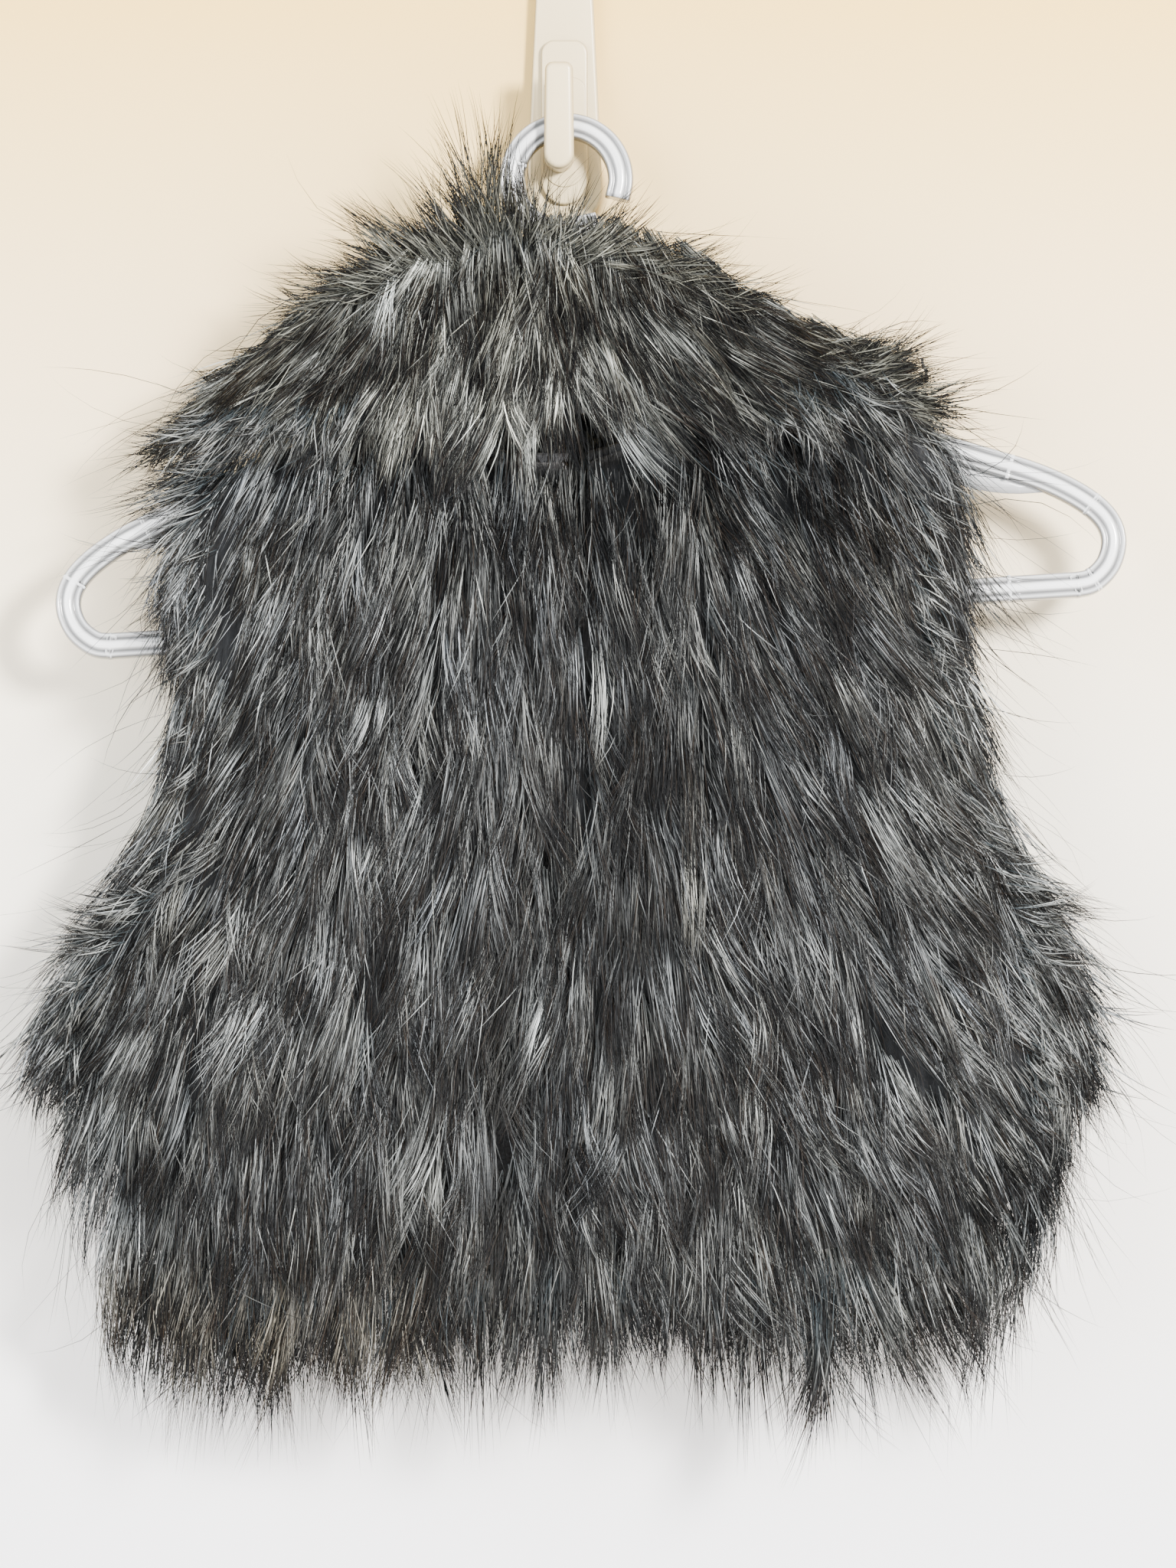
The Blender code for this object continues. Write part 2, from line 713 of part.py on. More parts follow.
def slab(name, outline, depth, front, collection, look):
    """A flat outline in the XZ plane, made as thick as depth, whose nearer face is at y = front."""
    curve = bpy.data.curves.new(name, "CURVE")
    curve.dimensions = "2D"
    curve.fill_mode = "BOTH"
    curve.extrude = depth / 2
    line = curve.splines.new("POLY")
    line.points.add(len(outline) - 1)
    line.use_cyclic_u = True
    for slot, (x, z) in zip(line.points, outline):
        slot.co = (x, z, 0.0, 1.0)
    shape = bpy.data.objects.new(name, curve)
    shape.rotation_euler = (math.radians(90.0), 0.0, 0.0)
    shape.location = (0.0, front + depth / 2, 0.0)
    collection.objects.link(shape)
    bpy.context.view_layer.update()
    graph = bpy.context.evaluated_depsgraph_get()
    data = bpy.data.meshes.new_from_object(shape.evaluated_get(graph))
    mesh = bmesh.new()
    mesh.from_mesh(data)
    bmesh.ops.remove_doubles(mesh, verts=mesh.verts, dist=1e-6)
    bmesh.ops.recalc_face_normals(mesh, faces=mesh.faces)
    mesh.to_mesh(data)
    mesh.free()
    data.transform(shape.matrix_world)
    bpy.data.objects.remove(shape, do_unlink=True)
    made = bpy.data.objects.new(name, data)
    data.materials.append(look)
    collection.objects.link(made)
    return made


def arc(centre, radius, first, last, steps):
    """Points of an arc, angles in degrees."""
    turns = [math.radians(first + (last - first) * k / steps) for k in range(steps + 1)]
    return [(centre[0] + radius * math.cos(t), centre[1] + radius * math.sin(t)) for t in turns]


def build_wall_hook(collection, cutters, look):
    outline = arc((0.0, PLATE_BOTTOM + PLATE_LOWER_RADIUS), PLATE_LOWER_RADIUS, 180, 360, 12)
    outline += arc((0.0, PLATE_TOP - PLATE_UPPER_RADIUS), PLATE_UPPER_RADIUS, 0, 180, 10)
    plate = slab("wall_hook", outline, PLATE_THICK, -PLATE_THICK, collection, look)
    half = PAD_WIDTH / 2
    pad_outline = arc((0.0, PAD_BOTTOM + half), half, 180, 360, 8) + arc(
        (0.0, PAD_TOP - half), half, 0, 180, 8
    )
    thick = PLATE_THICK + PAD_THICK
    pad = slab("pad", pad_outline, thick - FUSED, -thick, cutters, look)
    bpy.ops.mesh.primitive_cylinder_add(
        vertices=24,
        radius=SEAT_WIDTH / 2,
        depth=abs(PRONG_BACK),
        location=(SEAT_X, PRONG_BACK / 2 - 2 * FUSED, SEAT_TOP - SEAT_WIDTH / 2),
        rotation=(math.radians(90.0), 0.0, 0.0),
    )
    seat = bpy.context.object
    seat.name = "seat"
    half = SEAT_WIDTH / 2
    prong_outline = arc((SEAT_X, PRONG_BOTTOM + half), half, 180, 360, 8) + arc(
        (SEAT_X, PRONG_TOP - half), half * 0.92, 0, 180, 8
    )
    prong = slab("prong", prong_outline, PRONG_THICK, PRONG_BACK - PRONG_THICK, cutters, look)
    for tool in (pad, seat, prong):
        for home in list(tool.users_collection):
            home.objects.unlink(tool)
        cutters.objects.link(tool)
        tool.hide_render = True
        tool.display_type = "WIRE"
        join = plate.modifiers.new(tool.name, "BOOLEAN")
        join.operation = "UNION"
        join.object = tool
    return plate


def hem_length(middle, length):
    if abs(middle[0] - LONG_LOCK_X) < LONG_LOCK_HALF_WIDTH:
        return LONG_LOCK_LENGTH
    return length


def crest_length(middle, length):
    """The crest's locks are longest a little to the right of the middle."""
    from_peak = (middle[0] - CREST_PEAK_X) / CREST_PEAK_WIDTH
    return length * (0.70 + 1.00 * math.exp(-(from_peak**2)))


def crest_way(c, s):
    """Up at the front and back of the crest, and out and up towards the sides."""
    return unit((0.75 * math.copysign(abs(c) ** 1.3, c), 0.30 * s, 0.95 - 0.45 * abs(c)))


def skirt_way(c, s):
    """Down at the front and back of the collar's edge, and outwards at the shoulders."""
    return unit((1.05 * math.copysign(abs(c) ** 2.0, c), 0.20 * s - 0.05, -0.75))


def main():
    clear_scene()
    vest = new_collection("faux_fur_vest")
    cutters = new_collection("cutters")
    fur = material("fur_grey", (0.115, 0.118, 0.122), 0.72)
    fur_dark = material("fur_dark", (0.050, 0.050, 0.053), 0.75)
    fur_collar = material("fur_collar", (0.145, 0.150, 0.150), 0.70)
    plastic = material("hanger_plastic", (0.80, 0.82, 0.84), 0.28)
    hook_plastic = material("hook_plastic", (0.86, 0.86, 0.85), 0.35)

    right = Panel("front_right", FRONT_COLUMNS, "right_side", "right_front", -1)
    left = Panel("front_left", FRONT_COLUMNS, "left_front", "left_side", -1)
    back = Panel("back", BACK_COLUMNS, "right_side", "left_side", 1)
    for panel in (right, left, back):
        panel.build(vest, fur)
    build_collar(vest, fur_collar)

    hem_right = hem_roots(right, HEM_FRONT, HEM_INSET)
    hem_left = hem_roots(left, HEM_FRONT, HEM_INSET)
    hem_back = hem_roots(back, HEM_BACK, HEM_INSET)
    build_locks("locks_hem_right", hem_right, HEM_FRONT, vest, fur_dark, 1)
    build_locks("locks_hem_left", hem_left, HEM_FRONT, vest, fur_dark, 2, hem_length)
    build_locks("locks_hem_back", hem_back, HEM_BACK, vest, fur_dark, 3)
    armholes = (
        (right, 0.0, "front_right"),
        (left, 1.0, "front_left"),
        (back, 0.0, "back_right"),
        (back, 1.0, "back_left"),
    )
    for panel, share, side in armholes:
        roots = edge_roots(panel, share, ARMHOLE, -0.118, -0.236, (0.9, 0.5))
        build_locks("locks_armhole_" + side, roots, ARMHOLE, vest, fur_dark, 4)
    for share, side in ((0.0, "right"), (1.0, "left")):
        roots = edge_roots(back, share, SIDE, -0.249, -0.322, (0.6, 2.0))
        build_locks("locks_side_" + side, roots, SIDE, vest, fur_dark, 5)
    for first, last, side in ((-92, -168, "right"), (-88, -19, "left")):
        crest = collar_roots(COLLAR[CREST_LOOP], COLLAR_CREST, first, last, crest_way)
        build_locks("locks_crest_" + side, crest, COLLAR_CREST, vest, fur_dark, 6, crest_length)
    skirt = collar_roots(COLLAR[EDGE_LOOP], COLLAR_EDGE, -93, -447, skirt_way)
    build_locks("locks_collar_edge", skirt, COLLAR_EDGE, vest, fur_dark, 7)

    build_hanger(vest, plastic)
    build_wall_hook(vest, cutters, hook_plastic)


main()
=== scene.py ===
"""Looks of a child's faux fur vest on a moulded hanger and wall hook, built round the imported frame.

Metres, +Z up, the vest's front towards -Y, and the wall at y = 0. Left and right are the wearer's.
"""

import sys

import logging
import math
from collections.abc import Callable
from dataclasses import dataclass
from enum import Enum
from typing import ClassVar

import bmesh
import bpy
import numpy as np
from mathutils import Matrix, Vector
from mathutils.bvhtree import BVHTree


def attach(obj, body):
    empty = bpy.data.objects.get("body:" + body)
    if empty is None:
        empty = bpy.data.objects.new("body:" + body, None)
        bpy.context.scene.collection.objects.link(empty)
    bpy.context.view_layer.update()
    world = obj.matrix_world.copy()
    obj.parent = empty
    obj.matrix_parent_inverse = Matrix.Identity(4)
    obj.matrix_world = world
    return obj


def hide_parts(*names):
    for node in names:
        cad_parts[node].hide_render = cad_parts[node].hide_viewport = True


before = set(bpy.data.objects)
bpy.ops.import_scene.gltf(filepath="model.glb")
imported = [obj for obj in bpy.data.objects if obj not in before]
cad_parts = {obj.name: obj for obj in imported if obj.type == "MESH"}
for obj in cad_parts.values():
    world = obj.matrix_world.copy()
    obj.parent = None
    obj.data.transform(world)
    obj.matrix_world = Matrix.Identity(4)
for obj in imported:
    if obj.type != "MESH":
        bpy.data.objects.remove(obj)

LOG = logging.getLogger("vest")
BODY = "root"
Array = np.ndarray

# The hanger and the vest lean out from the wall hook's seat down to the hanger's bar
SEAT_Y = -0.0135
LEAN = math.tan(math.radians(6.0))
LEAN_ENDS = -0.150
WALL_CLEARANCE = 0.0008

# Where along a strand its points lie. The pile's mass is drawn from where it leaves the undercoat
PILE_KNOTS = np.array((0.30, 0.56, 0.78, 1.0))
LONE_KNOTS = np.array((0.0, 0.25, 0.48, 0.68, 0.85, 1.0))

# Where the two fronts meet, from the collar down: height, then place across
OPENING = ((-0.353, -0.0198), (-0.291, -0.0187), (-0.231, -0.0107), (-0.198, 0.0021), (-0.111, 0.0041))

# The dense pile's outline: height, then its place on the wearer's right and left
OUTLINE = (
    (-0.400, -0.120, 0.112),
    (-0.380, -0.127, 0.118),
    (-0.350, -0.139, 0.128),
    (-0.335, -0.145, 0.135),
    (-0.320, -0.150, 0.142),
    (-0.305, -0.153, 0.148),
    (-0.290, -0.155, 0.152),
    (-0.275, -0.154, 0.153),
    (-0.260, -0.149, 0.149),
    (-0.245, -0.142, 0.144),
    (-0.230, -0.132, 0.138),
    (-0.215, -0.125, 0.131),
    (-0.200, -0.118, 0.125),
    (-0.185, -0.113, 0.121),
    (-0.170, -0.112, 0.118),
    (-0.155, -0.115, 0.116),
    (-0.140, -0.119, 0.113),
    (-0.125, -0.121, 0.112),
    (-0.100, -0.122, 0.113),
    (-0.080, -0.118, 0.106),
)

# How much longer than elsewhere the pile is at the hem: place across, and metres
HEM_EXTRA = (
    (-0.130, 0.024),
    (-0.110, 0.015),
    (-0.095, 0.017),
    (-0.080, 0.013),
    (-0.065, 0.008),
    (-0.050, 0.010),
    (-0.035, 0.006),
    (-0.020, 0.000),
    (-0.005, 0.001),
    (0.010, -0.006),
    (0.025, 0.000),
    (0.040, 0.005),
    (0.055, 0.013),
    (0.070, 0.013),
    (0.085, 0.026),
    (0.100, 0.020),
    (0.115, 0.010),
)

# Painted warm light on the pile at the hem of the wearer's right: how much warmer and lighter it makes the
# pile
HEM_PAINTED_LIGHT = (0.34, 0.20, 0.02)
# Where that painted light starts, and the width over which it comes in
PAINTED_LIGHT_BELOW = (-0.330, 0.022)
PAINTED_LIGHT_RIGHT_OF = (-0.018, 0.030)

# No stray hair stands out further than this across
SPAN = (-0.1920, 0.1960)


class Facing(Enum):
    """Which way a side of the vest looks along Y."""

    FRONT = -1
    BACK = 1


class Slot(Enum):
    """The record's material slots."""

    FUR = "fur_grey"
    FUR_DARK = "fur_dark"
    FUR_COLLAR = "fur_collar"
    HANGER = "hanger_plastic"
    HOOK = "hook_plastic"


def metres(millimetres: float) -> float:
    """A length in metres."""
    return round(millimetres / 1000.0, 7)


def smooth_step(value: Array) -> Array:
    """Eases from 0 to 1."""
    share = np.clip(value, 0.0, 1.0)
    return share * share * (3.0 - 2.0 * share)


def normalised(vectors: Array) -> Array:
    """Vectors brought to length 1."""
    return vectors / np.maximum(np.linalg.norm(vectors, axis=-1, keepdims=True), 1e-12)


def middle_plane(height: Array) -> Array:
    """Where the vest's middle plane is along Y at a height."""
    return SEAT_Y + LEAN * np.maximum(height, LEAN_ENDS)


def opening_at(height: Array) -> Array:
    """Where the two fronts meet at a height."""
    return np.interp(height, [row[0] for row in OPENING], [row[1] for row in OPENING])


def held_in(x: Array, z: Array, rng: np.random.Generator) -> Array:
    """Places across, bent back where they leave the vest's outline, so that only wisps stand out of it.

    Args:
        x: places across, one row a strand.
        z: their heights.
        rng: the source of chance.

    Returns:
        The places across.
    """
    rows = np.array(OUTLINE)
    slack = 0.0035 * rng.standard_normal((len(x), 1))
    give = np.where(rng.random((len(x), 1)) < 0.20, 0.85, rng.uniform(0.15, 0.50, (len(x), 1)))
    right = np.interp(z, rows[:, 0], rows[:, 1]) + slack
    left = np.interp(z, rows[:, 0], rows[:, 2]) + slack
    x = np.where(x < right, right + (x - right) * give, x)
    return np.where(x > left, left + (x - left) * give, x)


def taper(knots: Array) -> Array:
    """How wide a strand is along its length, as a share of its width."""
    return (0.72 + 0.28 * smooth_step(knots / 0.4)) * np.minimum(1.0, (1.0 - knots) / 0.42) ** 0.8


def deselect_all() -> None:
    """Leaves edit mode and deselects every object."""
    if bpy.context.mode != "OBJECT":
        bpy.ops.object.mode_set(mode="OBJECT")
    bpy.ops.object.select_all(action="DESELECT")


def activate(piece: bpy.types.Object) -> None:
    """Makes one object the only selected and active one."""
    deselect_all()
    piece.select_set(True)
    bpy.context.view_layer.objects.active = piece


def apply_modifiers(piece: bpy.types.Object) -> None:
    """Applies all of an object's modifiers in order."""
    activate(piece)
    for modifier in list(piece.modifiers):
        bpy.ops.object.modifier_apply(modifier=modifier.name)


def settle(piece: bpy.types.Object) -> None:
    """Puts an object's place into its mesh."""
    activate(piece)
    bpy.ops.object.transform_apply(location=True, rotation=True, scale=True)


def dress(
    piece: bpy.types.Object, material: bpy.types.Material, slot: Slot, *replaced: str
) -> bpy.types.Object:
    """Gives a finished piece its material and its body.

    Args:
        piece: the finished object, in the row frame.
        material: its finish.
        slot: the record's slot that it takes its finish from; not used.
        replaced: names of the CAD nodes it stands for.

    Returns:
        The same object.
    """
    piece.data.materials.clear()
    piece.data.materials.append(material)
    if replaced:
        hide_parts(*replaced)
    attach(piece, BODY)
    return piece


def linked(name: str, data: bpy.types.ID) -> bpy.types.Object:
    """A new object of some data, put into the scene."""
    made = bpy.data.objects.new(name, data)
    bpy.context.scene.collection.objects.link(made)
    return made


def edit_all(piece: bpy.types.Object, *steps: Callable[[], object]) -> None:
    """Takes steps in edit mode on all of an object's points."""
    activate(piece)
    bpy.ops.object.mode_set(mode="EDIT")
    bpy.ops.mesh.select_all(action="SELECT")
    for step in steps:
        step()
    bpy.ops.object.mode_set(mode="OBJECT")


def copy_of_node(node: str, name: str) -> bpy.types.Object:
    """A copy of a CAD node with its loose triangles merged."""
    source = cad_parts[node]
    made = linked(name, source.data.copy())
    made.data.name = name
    edit_all(made, lambda: bpy.ops.mesh.remove_doubles(threshold=1e-5))
    return made


def closed_object(mesh: bmesh.types.BMesh, name: str) -> bpy.types.Object:
    """Turns a closed mesh's faces outward, makes it an object and lets go of it."""
    bmesh.ops.recalc_face_normals(mesh, faces=mesh.faces)
    data = bpy.data.meshes.new(name)
    mesh.to_mesh(data)
    mesh.free()
    return linked(name, data)


def points_of(piece: bpy.types.Object) -> Array:
    """An object's points, one row each."""
    points = np.empty(3 * len(piece.data.vertices), np.float32)
    piece.data.vertices.foreach_get("co", points)
    return points.reshape(-1, 3).astype(float)


def set_points(piece: bpy.types.Object, points: Array) -> None:
    """Moves an object's points."""
    piece.data.vertices.foreach_set("co", points.astype(np.float32).ravel())
    piece.data.update()


def write_colours(mesh: bpy.types.Mesh, name: str, colours: Array) -> None:
    """Writes a colour for each point of a mesh into a colour attribute."""
    layer = mesh.color_attributes.new(name, "FLOAT_COLOR", "POINT")
    rgba = np.ones((len(colours), 4), np.float32)
    rgba[:, :3] = colours
    layer.data.foreach_set("color", rgba.ravel())


def paint(piece: bpy.types.Object, colour: tuple[float, float, float], tone: Array) -> None:
    """Gives each point of a moulded piece its colour, made lighter or darker by its tone, which is painted
    highlight and shade.

    Args:
        piece: the object.
        colour: its plastic's colour.
        tone: one value a point, 1 being the plastic's own colour.
    """
    write_colours(piece.data, "moulded_colour_and_painted_light", np.array(colour) * tone[:, None])


def shade_by_facing(
    piece: bpy.types.Object, colour: tuple[float, float, float], sides: float, right: float
) -> None:
    """Paints shade onto a moulded piece: darker where its surface turns from the front, at its edges and
    sides.

    Args:
        piece: the object.
        colour: its plastic's colour.
        sides: how much painted shade its sides get.
        right: how much more painted shade they get on the wearer's right, away from the key lamp.
    """
    normals = np.empty(3 * len(piece.data.vertices), np.float32)
    piece.data.vertices.foreach_get("normal", normals)
    normals = normals.reshape(-1, 3)
    turned = 1.0 - np.clip(-normals[:, 1], 0.0, 1.0)
    paint(piece, colour, 1.0 - sides * turned - right * turned * np.clip(-normals[:, 0], 0.0, 1.0))


def tree_of(*nodes: str) -> BVHTree:
    """A search tree over some CAD nodes' surfaces."""
    points: list[tuple[float, ...]] = []
    faces: list[tuple[int, ...]] = []
    for node in nodes:
        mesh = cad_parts[node].data
        start = len(points)
        points += [tuple(v.co) for v in mesh.vertices]
        faces += [tuple(start + i for i in p.vertices) for p in mesh.polygons]
    return BVHTree.FromPolygons(points, faces)


@dataclass(frozen=True)
class Grid:
    """The upright grid that height maps are read on."""

    x_low: float = -0.205
    x_high: float = 0.212
    z_low: float = -0.445
    z_high: float = 0.045
    step: float = 0.0025

    def axes(self) -> tuple[Array, Array]:
        """The grid's lines along X and along Z."""
        return (
            np.arange(self.x_low, self.x_high, self.step),
            np.arange(self.z_low, self.z_high, self.step),
        )

    def read(self, values: Array, x: Array, z: Array) -> Array:
        """Values of a map on this grid, read smoothly between its lines."""
        across = np.clip((x - self.x_low) / self.step, 0.0, values.shape[0] - 1.001)
        up = np.clip((z - self.z_low) / self.step, 0.0, values.shape[1] - 1.001)
        i, j = across.astype(int), up.astype(int)
        u, v = across - i, up - j
        low = values[i, j] * (1 - u) + values[i + 1, j] * u
        high = values[i, j + 1] * (1 - u) + values[i + 1, j + 1] * u
        return low * (1 - v) + high * v


GRID = Grid()


def blurred(values: Array, width: float) -> Array:
    """A map blurred over a width in metres."""
    for axis in (0, 1):
        place = np.arange(values.shape[axis]) * GRID.step
        share = np.exp(-0.5 * ((place[:, None] - place) / width) ** 2)
        share *= GRID.step / (width * math.sqrt(2.0 * math.pi))
        values = np.moveaxis(np.tensordot(share, values, axes=(1, axis)), 0, axis)
    return values


class Relief:
    """Height map of some CAD nodes' outer face as seen along Y, carried on past their edges."""

    def __init__(self, facing: Facing, *nodes: str) -> None:
        """Reads the nodes' surface.

        Args:
            facing: the side it is seen from.
            nodes: the CAD nodes.
        """
        self.facing = facing
        tree = tree_of(*nodes)
        xs, zs = GRID.axes()
        found = np.full((len(xs), len(zs)), np.nan)
        way = Vector((0.0, -facing.value, 0.0))
        for i, x in enumerate(xs):
            for j, z in enumerate(zs):
                hit = tree.ray_cast(Vector((x, facing.value * 0.3, z)), way)[0]
                if hit is not None:
                    found[i, j] = hit.y
        mask = np.isfinite(found).astype(float)
        filled = np.where(mask > 0, found, 0.0)
        self.cover = blurred(mask, 0.002)
        self.outer = np.zeros_like(filled)
        known = np.zeros_like(filled)
        for width in (0.0045, 0.010, 0.025, 0.070):
            weight = blurred(mask, width)
            level = blurred(filled, width) / np.maximum(weight, 1e-9)
            share = np.where(known > 0, 0.0, (weight > 0.25).astype(float))
            self.outer += level * share
            known += share
        self.outer = np.where(known > 0, self.outer, SEAT_Y - 0.016)
        self.outer = blurred(self.outer, 0.003)
        self.slope_x, self.slope_z = np.gradient(self.outer, GRID.step)
        self.wide_cover = blurred(mask, 0.006)
        self.lower_edge = np.where(mask.any(axis=1), zs[np.argmax(mask, axis=1)], -0.10)
        self.inward_x, self.inward_z = np.gradient(self.wide_cover, GRID.step)

    def height(self, x: Array, z: Array) -> Array:
        """The outer face's place along Y."""
        return GRID.read(self.outer, x, z)

    def covered(self, x: Array, z: Array) -> Array:
        """Near 1 on the nodes, near 0 off them."""
        return GRID.read(self.cover, x, z)

    def outward(self, x: Array, z: Array) -> Array:
        """The direction straight out of the surface."""
        slope_x = GRID.read(self.slope_x, x, z)
        slope_z = GRID.read(self.slope_z, x, z)
        way = float(self.facing.value)
        return normalised(np.stack((-way * slope_x, np.full_like(x, way), -way * slope_z), axis=-1))

    def drawn_in(self, points: Array, reach: float, raised: float) -> Array:
        """Points moved in from the outline, most at its very edge.

        Args:
            points: the points, one row each.
            reach: how far the edge moves in.
            raised: how far the lower edge moves up before that.

        Returns:
            The moved points.
        """
        points = points.copy()
        lowest = np.interp(points[:, 0], GRID.axes()[0], self.lower_edge)
        share = np.clip(1.0 - (points[:, 2] - lowest) / (2.6 * raised), 0.0, 1.0)
        points[:, 2] += raised * share**2
        x, z = points[:, 0], points[:, 2]
        near = GRID.read(self.wide_cover, x, z)
        way = np.stack((GRID.read(self.inward_x, x, z), GRID.read(self.inward_z, x, z)), axis=1)
        move = normalised(way) * (reach * np.clip((0.86 - near) / 0.36, 0.0, 1.0))[:, None]
        moved = points.copy()
        moved[:, 0] += move[:, 0]
        moved[:, 2] += move[:, 1]
        return moved


@dataclass(frozen=True)
class CombPoint:
    """How the pile lies at one place.

    Attributes:
        x: place across.
        z: height.
        lean: degrees from straight down, towards the wearer's left.
        tone: how light the pile is, 1 being usual.
    """

    x: float
    z: float
    lean: float
    tone: float


@dataclass(frozen=True)
class Comb:
    """How the pile lies all over one side of a piece, from places read in between."""

    points: tuple[CombPoint, ...]
    reach: float

    @classmethod
    def of(cls, reach: float, *rows: tuple[float, float, float, float]) -> "Comb":
        """A comb from rows of x, z, lean and tone, and how far each is felt, lengths in millimetres."""
        points = tuple(CombPoint(metres(x), metres(z), lean, tone) for x, z, lean, tone in rows)
        return cls(points, metres(reach))

    def read(self, x: Array, z: Array) -> tuple[Array, Array]:
        """The lean in radians and the tone at some places."""
        places = np.array([(p.x, p.z) for p in self.points])
        lean = np.radians([p.lean for p in self.points])
        tone = np.array([p.tone for p in self.points])
        away = (x[:, None] - places[:, 0]) ** 2 + (z[:, None] - places[:, 1]) ** 2
        weight = 1.0 / (away + self.reach**2) ** 2
        weight /= weight.sum(axis=1, keepdims=True)
        return (
            np.arctan2(weight @ np.sin(lean), weight @ np.cos(lean)),
            weight @ tone,
        )


FRONT_COMB = Comb.of(
    15,
    (-122, -105, -58, 1.05),
    (-118, -135, -40, 1.10),
    (-116, -165, -33, 1.15),
    (-118, -200, -36, 1.10),
    (-98, -112.6, -24, 1.35),
    (-62.9, -112.6, -12, 1.30),
    (-4.6, -112.6, 4, 0.60),
    (42.1, -112.6, 16, 0.62),
    (88.8, -112.6, 24, 0.55),
    (124, -105, 56, 0.80),
    (122, -140, 42, 0.90),
    (124, -175, 38, 1.05),
    (129, -205, 42, 1.05),
    (-95, -170.9, -20, 1.20),
    (-51.3, -170.9, -8, 1.05),
    (7.1, -170.9, 2, 0.56),
    (65.5, -170.9, 18, 0.60),
    (100, -182.6, 28, 1.00),
    (-133, -233, -46, 1.15),
    (-105, -229.3, -18, 1.05),
    (-62.9, -229.3, -8, 0.95),
    (-4.6, -229.3, -5, 0.72),
    (53.8, -229.3, 13, 0.72),
    (105, -229.3, 27, 1.15),
    (144, -232, 48, 1.10),
    (-148, -250, -38, 1.10),
    (-144.7, -276, -9, 1.25),
    (-86.3, -287.7, -5, 0.76),
    (-16.2, -287.7, -3, 0.72),
    (42.1, -287.7, 11, 0.74),
    (100.5, -287.7, 23, 1.00),
    (147.2, -287.7, 24, 0.95),
    (-118, -285, -8, 0.62),
    (-133, -315, -14, 0.75),
    (-118, -340, 4, 0.52),
    (-74.6, -346, -1, 0.48),
    (-23.2, -346, -1, 0.60),
    (42.1, -346, 6, 0.78),
    (100.5, -346, 12, 0.72),
    (131, -326, 24, 0.62),
)

COLLAR_COMB = Comb.of(
    12,
    (-20, -31, -4, 1.15),
    (-39.6, -42.5, -22, 1.75),
    (-62.9, -47, -50, 0.80),
    (-76, -56, -52, 0.80),
    (-86.3, -68, -52, 0.80),
    (-109.6, -84, -56, 0.75),
    (-98, -91.5, -48, 0.65),
    (-62.9, -77.5, -32, 1.15),
    (-39.6, -77.5, -13, 2.05),
    (-23.2, -65.9, -3, 2.05),
    (-4.6, -65.9, 12, 1.75),
    (18.8, -65.9, 38, 0.62),
    (30.4, -54.2, 50, 0.58),
    (42.1, -47.5, 56, 0.60),
    (53.8, -54.2, 60, 0.52),
    (77.1, -65.9, 58, 0.58),
    (90, -74, 58, 0.75),
    (105, -85, 54, 0.85),
    (30.4, -82.2, 32, 0.58),
    (53.8, -89.2, 36, 0.46),
    (77.1, -91.5, 36, 0.42),
)

BACK_COMB = Comb.of(
    22,
    (-100, -120, -22, 0.95),
    (0, -120, 1, 0.95),
    (105, -120, 24, 0.90),
    (-100, -190, -14, 1.05),
    (0, -190, -2, 1.00),
    (105, -190, 16, 0.95),
    (-133, -235, -50, 1.05),
    (0, -250, 0, 0.90),
    (142, -235, 52, 1.05),
    (-125, -320, -6, 0.95),
    (0, -330, 1, 0.90),
    (125, -320, 9, 0.85),
)

COLLAR_BACK_COMB = Comb.of(
    22,
    (-105, -82, -62, 0.95),
    (-60, -60, -34, 1.00),
    (0, -50, 0, 0.95),
    (60, -60, 34, 1.00),
    (100, -75, 60, 0.95),
)


@dataclass(frozen=True)
class ToneAndShadePatch:
    """A place where the pile is painted darker or lighter than round it; some are painted shade, the rest
    the pile's own tone.

    Attributes:
        x: place across.
        z: height.
        wide: half its width.
        tall: half its height.
        tone: how light the pile is there, 1 being as round it.
    """

    x: float
    z: float
    wide: float
    tall: float
    tone: float


# x, z, half width and half height in millimetres, and tone
# The dark patches along the fronts' opening and just below the collar's lower edge are painted shade; the
# others are the pile's own lighter and darker tone
TONE_AND_SHADE_ROWS = (
    (5.2, -110.5, 3.5, 7, 0.18),
    (-4, -118, 5, 6, 1.45),
    (2, -198.5, 3.5, 6, 0.30),
    (3, -155, 3.2, 26, 0.55),
    (24, -180, 10.5, 42, 0.38),
    (17, -248, 8.5, 34, 0.36),
    (-30, -35, 8.5, 5, 0.20),
    (-16, -39, 9, 3.5, 0.45),
    (-10.5, -233, 5.5, 12, 0.15),
    (-19, -280, 5.5, 36, 0.22),
    (-21.5, -330, 5.2, 26, 0.20),
    (-130, -248, 12, 6, 0.45),
    (30, -245, 12, 16, 0.70),
    (45, -190, 8, 18, 0.65),
    (82, -104, 16, 7, 0.45),
    (28, -96, 20, 6, 0.45),
    (-28, -103, 12, 5, 0.40),
    (-95, -102, 16, 5, 0.55),
    (-142, -276, 7, 16, 1.25),
    (60, -305, 18, 16, 1.15),
    (118, -325, 16, 20, 0.60),
)
TONE_AND_SHADE_PATCHES = tuple(
    ToneAndShadePatch(metres(x), metres(z), metres(wide), metres(tall), tone) for x, z, wide, tall, tone in TONE_AND_SHADE_ROWS
)

